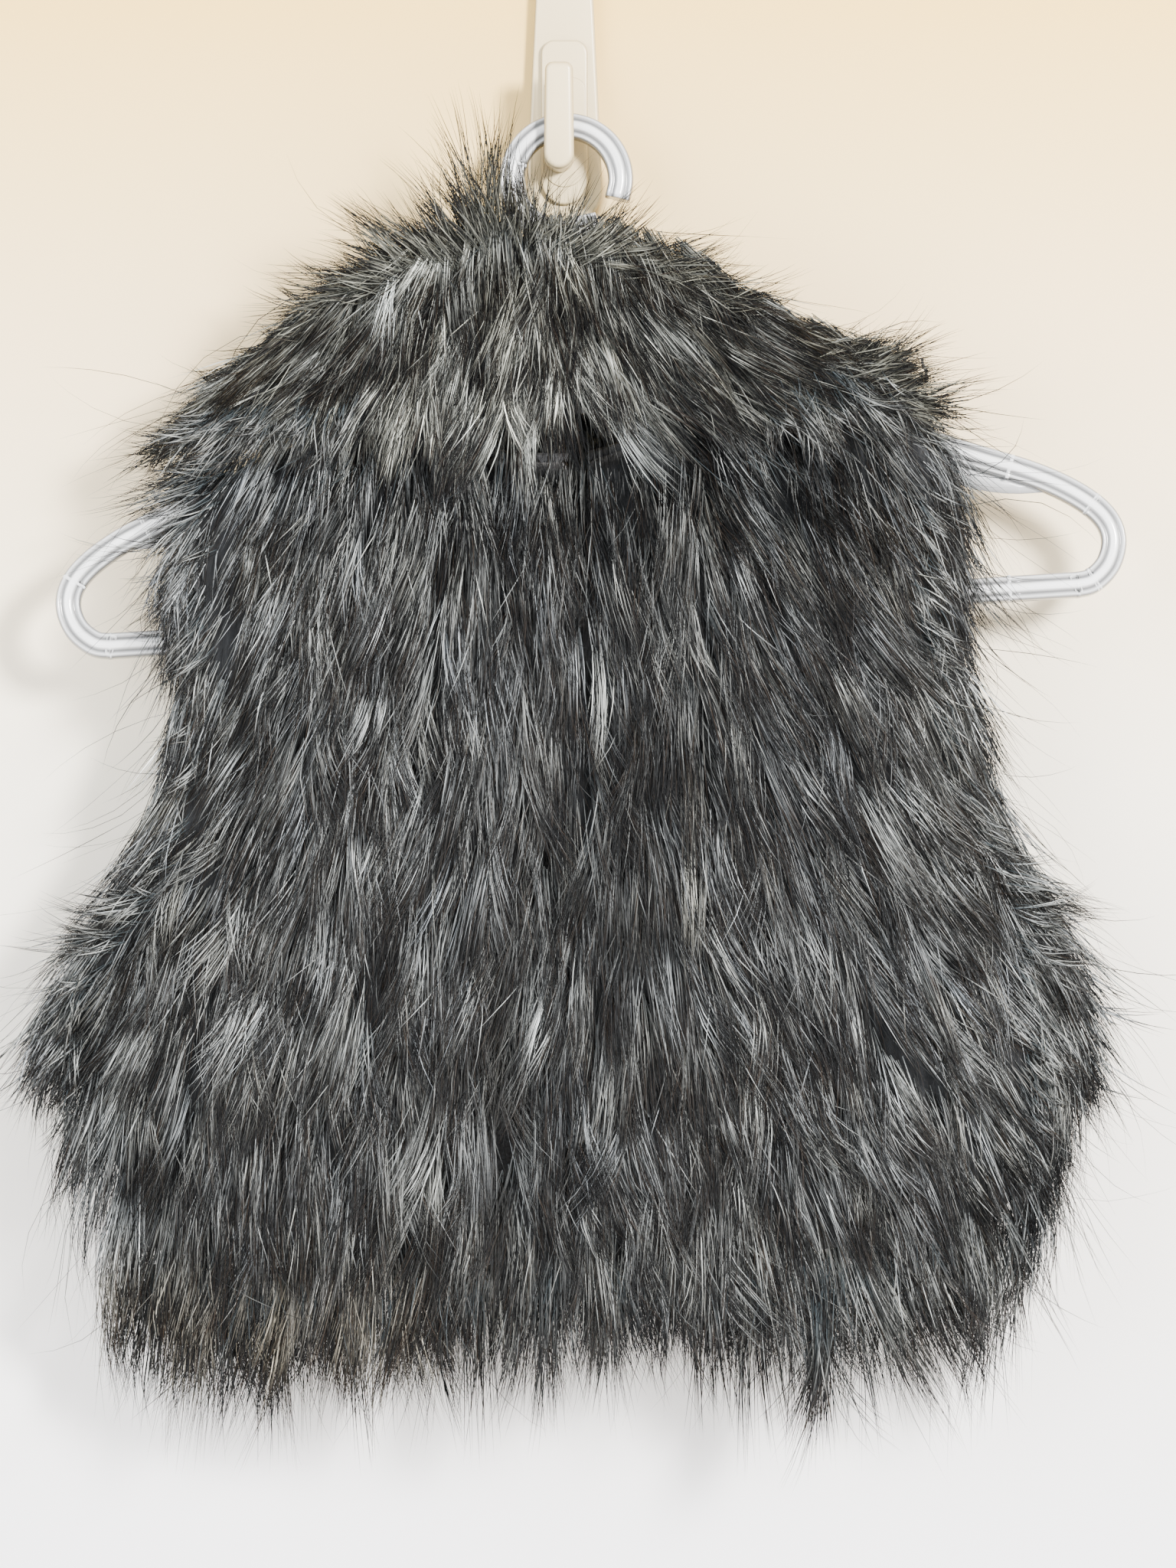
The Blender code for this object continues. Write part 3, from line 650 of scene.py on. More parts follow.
# How unevenly the pile lies, in degrees, and is coloured, as a spread of the tone's logarithm
DRIFT = 3.0
LOCK_LEAN = 5.5
TUFT_LEAN = 3.5
STRAND_LEAN = 2.2
LOCK_CURL = 9.0
LOCK_TONE = 0.27
TUFT_TONE = 0.25
LOCK_TURN = 0.075
TUFT_TURN = 0.06
TUFT_WARMTH = 0.5
TUFT_LIFT = 0.7
STRAND_TURN = 0.30
# Slow waves in its lean, in radians a metre across and up
DRIFT_WAVES = ((95, 40), (-60, 70))
# Lengths as least and greatest shares of the usual one
LOCK_LENGTHS = (0.82, 1.08)
TUFT_LENGTHS = (0.84, 1.06)
STRAND_LENGTHS = (0.74, 1.06)
EDGE_SHORTEST = 0.80
# How tightly tufts and strands draw together towards the tip, 1 being to a point
LOCK_HOLDS = (0.30, 0.75)
EDGE_HOLDS = (0.65, 0.95)
TUFT_HOLDS = (0.55, 0.93)
# Where roots lie: shares of the distance between locks, and metres
JITTER = 0.45
TUFT_SPREAD = 0.6
TUFT_RADIUS = 0.0020
STRAND_DEPTH = 0.0008
ROOM_SHARE = 0.42
# Strands that stand out: their share, how much more they lean, and how far they rise
WILD_SHARE = 0.07
WILD_LEAN = 5.0
WILD_RISE = (0.001, 0.006)
# How much of a relief's blurred cover a lock, the cloth above the edge and a root need
PILE_COVER = 0.24
CLOTH_COVER = 0.45
ROOT_COVER = 0.16
# How near the lower edge locks hang past it, and how the hem's extra length varies
EDGE_REACH = 0.034
HEM_BELOW = -0.27
HEM_SPREAD = (0.6, 1.25)

# How far locks lean away from the opening, in degrees, and how near it
PARTING = 7.0
PARTING_REACH = 0.007

# The short locks where the opening meets the hem
NOTCH_HALF = 0.0045
NOTCH_BELOW = -0.322
NOTCH_LENGTH = 0.48

# Locks that hang lower than the rest: place across, height, and length as a share of the usual one
LONG_LOCKS = (
    (0.0735, -0.3300, 1.56),
    (-0.0930, -0.3330, 1.26),
    (-0.0230, -0.3320, 1.22),
    (0.0180, -0.3330, 1.24),
)
LONG_LOCK_REACH = 0.0065
LONG_LOCK_HOLD = 0.96


def tone_and_painted_shade(x: Array, z: Array) -> Array:
    """How the patches change the pile's tone at some places, their painted shade included."""
    tone = np.ones_like(x)
    for patch in TONE_AND_SHADE_PATCHES:
        near = np.exp(-(((x - patch.x) / patch.wide) ** 2) - ((z - patch.z) / patch.tall) ** 2)
        tone = tone * (1.0 + (patch.tone - 1.0) * near)
    return tone


@dataclass
class Strands:
    """Many strands of pile, ready to become one mesh.

    Attributes:
        paths: the points of each strand's middle line.
        outward: which way each strand's flat side looks, at each point.
        width: how wide each strand is at each point.
        colours: the colour at each point, with any painted shade and light.
    """

    paths: Array
    outward: Array
    width: Array
    colours: Array

    def thinned(self, keep: Array) -> "Strands":
        """Only the strands that keep says."""
        return Strands(self.paths[keep], self.outward[keep], self.width[keep], self.colours[keep])

    @classmethod
    def together(cls, parts: list["Strands"]) -> "Strands":
        """The strands of several growths as one."""
        return cls(
            np.concatenate([part.paths for part in parts]),
            np.concatenate([part.outward for part in parts]),
            np.concatenate([part.width for part in parts]),
            np.concatenate([part.colours for part in parts]),
        )

    def to_object(self, name: str) -> bpy.types.Object:
        """One mesh of tapering ribbons, with the colours in its fur_dye_and_painted_light attribute."""
        count, knots, _ = self.paths.shape
        self.paths[:, :, 1] = np.minimum(self.paths[:, :, 1], -WALL_CLEARANCE)
        along = normalised(np.gradient(self.paths, axis=1))
        side = normalised(np.cross(along, self.outward))
        half = 0.5 * side * self.width[:, :, None]
        pairs = np.stack((self.paths - half, self.paths + half), axis=2)[:, :-1]
        points = np.concatenate((pairs.reshape(count, -1, 3), self.paths[:, -1:]), axis=1)
        tint = np.repeat(self.colours, 2, axis=1)[:, :-1]
        cells = []
        for k in range(knots - 2):
            a = 2 * k
            cells += [(a, a + 1, a + 3), (a, a + 3, a + 2)]
        last = 2 * (knots - 2)
        cells.append((last, last + 1, last + 2))
        each = points.shape[1]
        faces = (np.arange(count)[:, None, None] * each + np.array(cells)).reshape(-1, 3)
        mesh = bpy.data.meshes.new(name)
        mesh.vertices.add(count * each)
        mesh.vertices.foreach_set("co", points.astype(np.float32).ravel())
        mesh.loops.add(3 * len(faces))
        mesh.loops.foreach_set("vertex_index", faces.astype(np.int32).ravel())
        mesh.polygons.add(len(faces))
        mesh.polygons.foreach_set("loop_start", np.arange(0, 3 * len(faces), 3, dtype=np.int32))
        mesh.update(calc_edges=True)
        mesh.shade_smooth()
        write_colours(mesh, "fur_dye_and_painted_light", tint.reshape(-1, 3))
        return linked(name, mesh)


@dataclass(frozen=True)
class Dye:
    """The colours of the pile, in linear light.

    Attributes:
        silver: the light middle of a strand.
        under: the cool short pile near the backing.
        tip: the dark end.
        brown: the warm dark end that some strands have.
        dark_share: the share of strands that are dark all along.
        dark_width: how fine these are beside the rest.
        brown_share: the share of strands that end brown.
    """

    silver: tuple[float, float, float] = (0.268, 0.283, 0.283)
    under: tuple[float, float, float] = (0.026, 0.036, 0.042)
    tip: tuple[float, float, float] = (0.0016, 0.0018, 0.0022)
    brown: tuple[float, float, float] = (0.0120, 0.0085, 0.0062)
    dark_share: float = 0.46
    dark_width: float = 0.62
    brown_share: float = 0.16

    def paint(
        self, rng: np.random.Generator, knots: Array, bright: Array, turn: Array, warm: Array
    ) -> tuple[Array, Array]:
        """Colours along each strand.

        Args:
            rng: the source of chance.
            knots: where along a strand its points lie.
            bright: how light each strand is.
            turn: the share of its length at which each strand turns dark.
            warm: how warm each strand's grey is, from -1 to 1 or so.

        Returns:
            Colours, one row a strand and one column a knot, and each strand's share of the usual width.
        """
        count = len(bright)
        t = knots[None, :, None]
        tint = 1.0 + warm[:, None, None] * np.array((0.018, 0.005, -0.026))
        bright = (bright * rng.uniform(0.55, 1.40, count))[:, None, None]
        turn = np.clip(turn + 0.07 * rng.standard_normal(count), 0.35, 0.95)[:, None, None]
        dark = rng.random(count) < self.dark_share
        dark_one = dark[:, None, None]
        brown_one = (rng.random(count) < self.brown_share)[:, None, None]
        silver = np.array(self.silver) * bright * tint
        under = np.array(self.under) * (0.5 + 0.5 * bright)
        end = np.where(brown_one, np.array(self.brown), np.array(self.tip))
        end = end * rng.uniform(0.6, 1.8, (count, 1, 1))
        body = under + (silver - under) * smooth_step((t - 0.16) / 0.36)
        body = body * np.where(dark_one, 0.05, 1.0)
        colours = body + (end - body) * smooth_step((t - turn + 0.11) / 0.24)
        return colours, np.where(dark, self.dark_width, 1.0) * rng.uniform(0.75, 1.25, count)


@dataclass(frozen=True)
class Coat:
    """Long pile laid over one side of a piece: locks that overlap downwards, each of several tufts.

    Attributes:
        comb: how it lies.
        seed: the seed of its chance.
        across: the distance between locks, across.
        along: the distance between locks, up.
        tufts: tufts in a lock.
        strands: strands in a tuft.
        length: a strand's usual length.
        root_depth: how far below the outer face strands are rooted.
        above_edge: how far above the cloth's lower edge the lowest strands are rooted.
        width: a strand's usual width.
        light_end: the share of its length at which a usual strand turns dark.
        side: which side of the front opening it covers, -1, 1 or 0 for both.
        lift: how unevenly its locks lie over each other.
        edge_length: the greatest share of the usual length that locks at the lower edge have.
    """

    comb: Comb
    seed: int
    across: float = 0.0062
    along: float = 0.0115
    tufts: float = 7.0
    strands: float = 11.0
    length: float = 0.051
    root_depth: float = 0.014
    above_edge: float = 0.0
    width: float = 0.00027
    light_end: float = 0.62
    side: int = 0
    lift: float = 0.0013
    edge_length: float = 1.36

    def locks(self, rng: np.random.Generator, relief: Relief) -> Array:
        """Where the locks are rooted, across and up, on a jittered grid."""
        xs = np.arange(GRID.x_low, GRID.x_high, self.across)
        zs = np.arange(GRID.z_low, GRID.z_high, self.along)
        gx, gz = np.meshgrid(xs, zs)
        gx = gx + 0.5 * self.across * (np.arange(len(zs)) % 2)[:, None]
        spots = np.stack((gx.ravel(), gz.ravel()), axis=1)
        spots += rng.uniform(-JITTER, JITTER, spots.shape) * (self.across, self.along)
        lean, _ = self.comb.read(spots[:, 0], spots[:, 1])
        first = PILE_KNOTS[0] * self.length
        x, z = spots[:, 0] + first * np.sin(lean), spots[:, 1] - first * np.cos(lean)
        keep = relief.covered(x, z) > PILE_COVER
        keep &= relief.covered(x, z - self.above_edge) > CLOTH_COVER
        keep &= self.side * (x - opening_at(z)) >= 0.0
        return spots[keep]

    def grow(self, relief: Relief, behind: Relief, dye: Dye) -> Strands:
        """Grows the strands over a relief.

        Args:
            relief: the outer face that the pile's tips lie on.
            behind: the face on the other side, which roots stay clear of.
            dye: the pile's colours.

        Returns:
            The strands.
        """
        rng = np.random.default_rng(self.seed)
        on_front = relief.facing is Facing.FRONT
        spots = self.locks(rng, relief)
        locks = len(spots)
        lean, tone = self.comb.read(spots[:, 0], spots[:, 1])
        phase = rng.uniform(0.0, 2 * math.pi, 4)
        drift = sum(
            np.sin(across * spots[:, 0] + up * spots[:, 1] + start)
            for (across, up), start in zip(DRIFT_WAVES, phase)
        )
        lean = lean + np.radians(DRIFT) * drift + np.radians(LOCK_LEAN) * rng.standard_normal(locks)
        from_opening = spots[:, 0] - opening_at(spots[:, 1])
        parting = np.radians(PARTING) * np.sign(from_opening)
        lean = lean + parting * np.exp(-np.abs(from_opening) / PARTING_REACH) * on_front
        lock_tone = tone * np.exp(LOCK_TONE * rng.standard_normal(locks))
        lock_warm = rng.standard_normal(locks)
        lock_curl = np.radians(LOCK_CURL) * rng.standard_normal(locks)
        lock_length = self.length * rng.uniform(*LOCK_LENGTHS, locks)
        lock_lift = rng.standard_normal(locks)
        lock_hold = rng.uniform(*LOCK_HOLDS, locks)
        # Locks that hang past an edge draw together to points
        at_edge = relief.covered(spots[:, 0], spots[:, 1] - self.above_edge - EDGE_REACH) < 0.5
        lock_hold = np.where(at_edge, rng.uniform(*EDGE_HOLDS, locks), lock_hold)
        edge_length = rng.uniform(EDGE_SHORTEST, self.edge_length, locks)
        lock_length = lock_length * np.where(at_edge, edge_length, 1.0)
        in_notch = (np.abs(from_opening) < NOTCH_HALF) & (spots[:, 1] < NOTCH_BELOW)
        lock_length = lock_length * np.where(in_notch & on_front, NOTCH_LENGTH, 1.0)
        for x, z, longer in LONG_LOCKS:
            near = np.hypot(spots[:, 0] - x, spots[:, 1] - z) < LONG_LOCK_REACH
            lock_length = np.where(near, self.length * longer, lock_length)
            lock_hold = np.where(near, LONG_LOCK_HOLD, lock_hold)
        hem = np.array(HEM_EXTRA)
        extra = np.interp(spots[:, 0], hem[:, 0], hem[:, 1]) * rng.uniform(*HEM_SPREAD, locks)
        lock_length = lock_length + np.where(at_edge & (spots[:, 1] < HEM_BELOW), extra, 0.0)
        lock_turn = self.light_end + LOCK_TURN * rng.standard_normal(locks)

        of_lock = np.repeat(np.arange(locks), np.maximum(1, rng.poisson(self.tufts, locks)))
        tufts = len(of_lock)
        tuft_at = rng.uniform(-TUFT_SPREAD, TUFT_SPREAD, (tufts, 2)) * (self.across, self.along)
        tuft_tone = lock_tone[of_lock] * np.exp(TUFT_TONE * rng.standard_normal(tufts))
        tuft_lean = lean[of_lock] + np.radians(TUFT_LEAN) * rng.standard_normal(tufts)
        tuft_lift = lock_lift[of_lock] + TUFT_LIFT * rng.standard_normal(tufts)
        tuft_hold = rng.uniform(*TUFT_HOLDS, tufts)
        tuft_length = lock_length[of_lock] * rng.uniform(*TUFT_LENGTHS, tufts)
        tuft_turn = lock_turn[of_lock] + TUFT_TURN * rng.standard_normal(tufts)
        tuft_warm = lock_warm[of_lock] + TUFT_WARMTH * rng.standard_normal(tufts)

        of_tuft = np.repeat(np.arange(tufts), rng.poisson(self.strands, tufts))
        lock = of_lock[of_tuft]
        count = len(of_tuft)
        t = PILE_KNOTS[None, :]
        turn = rng.uniform(0.0, 2 * math.pi, count)
        radius = TUFT_RADIUS * np.sqrt(rng.random(count))
        hair_at = np.stack((radius * np.cos(turn), radius * np.sin(turn)), axis=1)
        wild = rng.random(count) < WILD_SHARE
        own = np.radians(STRAND_LEAN) * rng.standard_normal(count) * np.where(wild, WILD_LEAN, 1.0)
        run = (tuft_length[of_tuft] * rng.uniform(*STRAND_LENGTHS, count))[:, None] * t
        bend = (tuft_lean[of_tuft] + own)[:, None] + lock_curl[lock][:, None] * (t - 0.4)
        in_lock = (1.0 - lock_hold[lock][:, None] * t**1.8)[:, :, None] * tuft_at[of_tuft][:, None]
        in_tuft = (1.0 - tuft_hold[of_tuft][:, None] * t**1.5)[:, :, None] * hair_at[:, None]
        place = spots[lock][:, None] + in_lock + in_tuft
        x = place[:, :, 0] + run * np.sin(bend)
        z = place[:, :, 1] - run * np.cos(bend)
        x = held_in(x, z, rng)
        front_y = relief.height(x[:, 0], z[:, 0])
        room = np.abs(behind.height(x[:, 0], z[:, 0]) - front_y)
        depth = np.minimum(self.root_depth, ROOM_SHARE * room)[:, None] * (1.0 - t) ** 1.4
        rise = smooth_step(t / 0.5) * (1.0 - 0.6 * smooth_step((t - 0.75) / 0.25))
        depth = depth - self.lift * tuft_lift[of_tuft][:, None] * rise
        depth = depth + STRAND_DEPTH * rng.standard_normal(count)[:, None] * t
        depth = depth - np.where(wild, rng.uniform(*WILD_RISE, count), 0.0)[:, None] * t**2
        y = relief.height(x, z) - relief.facing.value * depth
        paths = np.stack((x, y, z), axis=-1)
        outward = normalised(relief.outward(x, z) + STRAND_TURN * rng.standard_normal((count, 1, 3)))
        # A patch, painted shade along the opening and under the collar or the pile's own tone elsewhere,
        # darkens what shows at it, so it is read where the strand's light part lies
        bright = tuft_tone[of_tuft] * tone_and_painted_shade(x[:, 2], z[:, 2])
        colours, share = dye.paint(rng, PILE_KNOTS, bright, tuft_turn[of_tuft], tuft_warm[of_tuft])
        # Painted warm light: the pile at the hem of the wearer's right is made warmer and lighter
        low = smooth_step((PAINTED_LIGHT_BELOW[0] - z) / PAINTED_LIGHT_BELOW[1])
        on_right = smooth_step((PAINTED_LIGHT_RIGHT_OF[0] - x) / PAINTED_LIGHT_RIGHT_OF[1])
        hem_painted_light = low * on_right * on_front
        colours = colours * (1.0 + hem_painted_light[:, :, None] * np.array(HEM_PAINTED_LIGHT))
        width = self.width * share[:, None] * taper(t)
        rooted = relief.covered(x[:, 0], z[:, 0]) > ROOT_COVER
        return Strands(paths, outward, width, colours).thinned(rooted)


@dataclass(frozen=True)
class EdgePoint:
    """How the pile stands out of an edge at one place along it.

    Attributes:
        x: place across.
        z: height.
        lean: degrees from straight up, towards the wearer's left.
        length: how long the longest spikes there are.
        thickly: how many spikes there, 1 being usual.
    """

    x: float
    z: float
    lean: float
    length: float
    thickly: float


def edge(*rows: tuple[float, float, float, float, float]) -> tuple[EdgePoint, ...]:
    """An edge from rows of x, z, lean, length and thickly, lengths in millimetres."""
    return tuple(
        EdgePoint(metres(x), metres(z), lean, metres(length), thickly)
        for x, z, lean, length, thickly in rows
    )


CREST = edge(
    (-120, -95, -128, 20, 0.7),
    (-106, -83, -126, 20, 0.8),
    (-93, -71.5, -124, 20, 0.9),
    (-81.4, -60, -112, 22, 1.0),
    (-68, -50, -98, 24, 1.2),
    (-56, -43.4, -76, 27, 1.4),
    (-44.2, -38.8, -56, 32, 1.4),
    (-37.7, -35, -46, 31, 1.3),
    (-29, -31.5, -32, 31, 1.2),
    (-22.2, -27.5, -12, 40, 1.0),
    (-18, -27.5, -3, 30, 0.9),
    (-10, -28.5, 14, 24, 0.8),
    (-1, -30.5, 40, 25, 0.9),
    (7.9, -34.5, 62, 27, 1.1),
    (25.6, -41.5, 84, 27, 1.4),
    (39.6, -48, 96, 26, 1.3),
    (58.1, -58, 106, 25, 1.1),
    (76, -64, 98, 20, 0.9),
    (88, -69, 52, 24, 1.5),
    (96, -74.5, 74, 28, 1.6),
    (108, -84, 108, 28, 1.3),
)

ARMHOLE_RIGHT = edge(
    (-98, -92.5, -112, 32, 2.0),
    (-106, -96, -114, 34, 2.4),
    (-111, -106, -116, 40, 2.0),
    (-113, -124, -132, 30, 1.1),
    (-111, -150, -148, 22, 1.0),
    (-108, -172, -145, 22, 1.0),
    (-109, -190, -148, 22, 1.0),
    (-116, -208, -140, 22, 1.0),
    (-126, -228, -104, 28, 1.5),
    (-138, -240, -100, 32, 2.2),
    (-146, -260, -145, 22, 1.0),
    (-148, -286, -165, 22, 0.9),
    (-144, -310, -168, 24, 0.9),
)

ARMHOLE_LEFT = edge(
    (100, -83, 108, 30, 1.8),
    (108, -100, 124, 34, 1.3),
    (107, -124, 142, 26, 1.1),
    (108, -148, 146, 24, 1.0),
    (112, -171, 146, 22, 1.0),
    (118, -194, 144, 22, 1.0),
    (126, -212, 130, 24, 1.1),
    (134, -226, 100, 44, 2.2),
    (140, -245, 122, 26, 1.2),
    (144, -268, 142, 22, 1.0),
    (143, -292, 148, 24, 1.0),
    (137, -315, 152, 26, 1.0),
)

SKIRT_RIGHT = edge(
    (-116, -90, -116, 22, 2.2),
    (-108, -91, -128, 26, 2.2),
    (-98, -91, -140, 26, 1.6),
    (-85, -90, -152, 26, 1.0),
    (-65, -93, -162, 22, 0.7),
)

SKIRT_LEFT = edge(
    (102, -78, 126, 24, 1.4),
    (93, -80, 138, 26, 1.2),
    (80, -84, 148, 26, 1.0),
    (62, -90, 156, 22, 0.7),
)

HEM_RIGHT = edge(
    (-130, -335, 178, 46, 1.2),
    (-108, -345, 180, 46, 1.2),
    (-82, -348, 181, 42, 1.0),
    (-52, -348, 181, 42, 1.0),
    (-26, -346, 182, 36, 1.0),
)

HEM_LEFT = edge(
    (-8, -342, 178, 34, 0.8),
    (20, -343, 177, 36, 1.0),
    (50, -343, 175, 42, 1.1),
    (85, -340, 172, 50, 1.2),
    (115, -330, 168, 44, 1.1),
)

TALLEST_WISPS = edge(
    (-27, -27, -7, 52, 1.0),
    (-21, -27, 3, 46, 1.0),
)

LONGEST_LOCK = edge(
    (72, -348, 178, 54, 1.0),
    (79, -347, 182, 50, 1.0),
)


@dataclass(frozen=True)
class Fringe:
    """Pile that stands out of an edge in loose spikes.

    Attributes:
        edge: the edge, point by point.
        tufts: the number of spikes.
        per_tuft: strands in a spike.
        width: a strand's usual width.
        seed: the seed of its chance.
        depth: how deep a band its roots take, behind the outer face.
        sunk: how far inside the edge its roots lie.
        share: the share of the usual length that its spikes have.
        light_end: the share of its length at which a usual strand turns dark.
        tone: how light it is, 1 being usual.
        scatter: how many degrees its spikes lean apart.
        shortest: the least share of their length that they have.
    """

    # The line's steps, how few spikes are long, and how they lean out, bow and spread
    STEPS: ClassVar[int] = 600
    LONG_POWER: ClassVar[float] = 1.8
    OUT: ClassVar[tuple[float, float]] = (-0.05, 0.20)
    BOW: ClassVar[float] = 14.0
    OWN_LEAN: ClassVar[float] = 4.0
    SPREAD: ClassVar[tuple[float, float, float]] = (0.0021, 0.0016, 0.0019)
    DRAWN: ClassVar[float] = 0.90
    LENGTHS: ClassVar[tuple[float, float]] = (0.55, 1.0)
    ROOT: ClassVar[float] = 0.006
    TONES: ClassVar[tuple[float, float]] = (0.70, 1.30)
    WARMTH: ClassVar[tuple[float, float]] = (0.8, 0.8)

    edge: tuple[EdgePoint, ...]
    tufts: int
    per_tuft: int
    width: float
    seed: int
    depth: tuple[float, float]
    sunk: tuple[float, float] = (0.002, 0.009)
    share: float = 1.0
    light_end: float = 0.54
    tone: float = 0.85
    scatter: float = 11.0
    shortest: float = 0.30

    def grow(self, relief: Relief, dye: Dye) -> Strands:
        """Grows the spikes along the edge.

        Args:
            relief: the outer face that they are rooted behind.
            dye: the pile's colours.

        Returns:
            The strands.
        """
        rng = np.random.default_rng(self.seed)
        rows = np.array([(p.x, p.z, p.lean, p.length, p.thickly) for p in self.edge])
        steps = np.hypot(np.diff(rows[:, 0]), np.diff(rows[:, 1]))
        travelled = np.concatenate(([0.0], np.cumsum(steps)))
        fine = np.linspace(0.0, travelled[-1], self.STEPS)
        weight = np.cumsum(np.interp(fine, travelled, rows[:, 4]))
        at = np.interp(rng.random(self.tufts), weight / weight[-1], fine)
        x, z, lean, longest = (np.interp(at, travelled, rows[:, k]) for k in range(4))
        lean = np.radians(lean)
        back = rng.uniform(*self.sunk, self.tufts)
        root_x, root_z = x - back * np.sin(lean), z - back * np.cos(lean)
        root_y = relief.height(root_x, root_z)
        root_y = root_y - relief.facing.value * rng.uniform(*self.depth, self.tufts)
        lean = lean + np.radians(self.scatter) * rng.standard_normal(self.tufts)
        # Most spikes are short, so the mound at the edge is dense and few stand far out of it
        reach = self.shortest + (1.0 - self.shortest) * rng.random(self.tufts) ** self.LONG_POWER
        length = self.share * reach * longest
        outward_lean = rng.normal(*self.OUT, self.tufts) * -relief.facing.value
        bow = np.radians(self.BOW) * rng.standard_normal(self.tufts)
        of_tuft = np.repeat(np.arange(self.tufts), rng.poisson(self.per_tuft, self.tufts))
        count = len(of_tuft)
        t = LONE_KNOTS[None, :]
        spread = rng.standard_normal((count, 3)) * self.SPREAD
        away = (1.0 - self.DRAWN * smooth_step(t * 1.1))[:, :, None]
        run = (length[of_tuft] * rng.uniform(*self.LENGTHS, count))[:, None] * t + self.ROOT * t
        own = np.radians(self.OWN_LEAN) * rng.standard_normal((count, 1))
        angle = lean[of_tuft][:, None] + own + bow[of_tuft][:, None] * (t - 0.3)
        way = np.stack(
            (np.sin(angle), outward_lean[of_tuft][:, None] * np.ones_like(t), np.cos(angle)), axis=-1
        )
        base = np.stack((root_x, root_y, root_z), axis=-1)[of_tuft]
        paths = base[:, None] + spread[:, None] * away + run[:, :, None] * way
        outward = np.zeros_like(paths)
        outward[:, :, 1] = relief.facing.value
        outward = normalised(outward + 0.5 * rng.standard_normal((count, 1, 3)))
        # The patches' painted shade and the pile's own tone reach the spikes too
        bright = self.tone * rng.uniform(*self.TONES, count) * tone_and_painted_shade(root_x, root_z)[of_tuft]
        warm = rng.normal(*self.WARMTH, count)
        colours, share = dye.paint(rng, LONE_KNOTS, bright, np.full(count, self.light_end), warm)
        return Strands(paths, outward, self.width * share[:, None] * taper(t), colours)


@dataclass(frozen=True)
class Strays:
    """Single hairs that cross the pile and stand out from the vest's outline.

    Attributes:
        count: how many.
        length: a hair's usual length.
        width: a hair's usual width.
        seed: the seed of their chance.
        rim_share: the share of them near the outline.
    """

    # Tries for each hair, how near the outline counts as the rim, and how they lean, lie and look
    TRIES: ClassVar[int] = 30
    RIM_WIDTH: ClassVar[float] = 0.010
    RIM_COVER: ClassVar[float] = 0.72
    INNER_SHARE: ClassVar[float] = 0.12
    LEAN: ClassVar[float] = 22.0
    LENGTHS: ClassVar[tuple[float, float]] = (0.55, 1.15)
    SUNK: ClassVar[float] = 0.004
    RISE: ClassVar[tuple[float, float]] = (0.001, 0.008)
    TONES: ClassVar[tuple[float, float]] = (0.05, 0.4)
    LIGHT_END: ClassVar[float] = 0.45

    count: int
    length: float
    width: float
    seed: int
    rim_share: float

    def grow(self, relief: Relief, comb: Comb, dye: Dye) -> Strands:
        """Grows stray hairs over a relief."""
        rng = np.random.default_rng(self.seed)
        tries = self.count * self.TRIES
        x = rng.uniform(GRID.x_low, GRID.x_high, tries)
        z = rng.uniform(GRID.z_low, GRID.z_high, tries)
        on = relief.covered(x, z)
        wide = GRID.read(blurred(relief.cover, self.RIM_WIDTH), x, z)
        chance = np.where(wide < self.RIM_COVER, self.rim_share, self.INNER_SHARE * (1 - self.rim_share))
        keep = np.nonzero((on > 0.5) & (rng.random(tries) < chance))[0][: self.count]
        x, z = x[keep], z[keep]
        count = len(x)
        lean, _ = comb.read(x, z)
        lean = lean + np.radians(self.LEAN) * rng.standard_normal(count)
        t = LONE_KNOTS[None, :]
        curl = np.radians(self.LEAN) * rng.standard_normal(count)[:, None]
        run = (self.length * rng.uniform(*self.LENGTHS, count))[:, None] * t
        bend = lean[:, None] + curl * (t - 0.3)
        px = x[:, None] + run * np.sin(bend)
        pz = z[:, None] - run * np.cos(bend)
        depth = self.SUNK * (1 - t) - rng.uniform(*self.RISE, count)[:, None] * t
        py = relief.height(px, pz) - relief.facing.value * depth
        paths = np.stack((px, py, pz), axis=-1)
        outward = normalised(relief.outward(px, pz) + 0.4 * rng.standard_normal((count, 1, 3)))
        bright = rng.uniform(*self.TONES, count)
        colours, share = dye.paint(rng, LONE_KNOTS, bright, np.full(count, self.LIGHT_END), np.ones(count))
        width = self.width * share[:, None] * taper(t)
        inside = (px.min(axis=1) > SPAN[0]) & (px.max(axis=1) < SPAN[1])
        return Strands(paths, outward, width, colours).thinned(inside)


FRONT_RIGHT_COAT = Coat(FRONT_COMB, 1, side=-1)
FRONT_LEFT_COAT = Coat(FRONT_COMB, 2, side=1)
BACK_COAT = Coat(BACK_COMB, 3, strands=5.6, width=0.00044, root_depth=0.008)
COLLAR_COAT = Coat(
    COLLAR_COMB,
    4,
    across=0.0056,
    along=0.0082,
    tufts=8.0,
    strands=19.0,
    length=0.045,
    above_edge=0.017,
    light_end=0.66,
    edge_length=1.0,
)
COLLAR_BACK_COAT = Coat(
    COLLAR_BACK_COMB,
    5,
    strands=6.5,
    length=0.040,
    root_depth=0.006,
    above_edge=0.014,
    width=0.00044,
    edge_length=1.0,
)
OUTER_CREST = Fringe(CREST, 640, 9, 0.00026, 31, (0.003, 0.011), share=1.25, tone=0.62)
INNER_CREST = Fringe(CREST, 180, 11, 0.00032, 32, (0.008, 0.015), share=0.55, tone=0.32)
THIN = {"light_end": 0.5, "tone": 0.6, "scatter": 4.0, "shortest": 0.7}
WISPS = Fringe(TALLEST_WISPS, 7, 8, 0.00024, 34, (0.004, 0.010), (0.0, 0.003), **THIN)
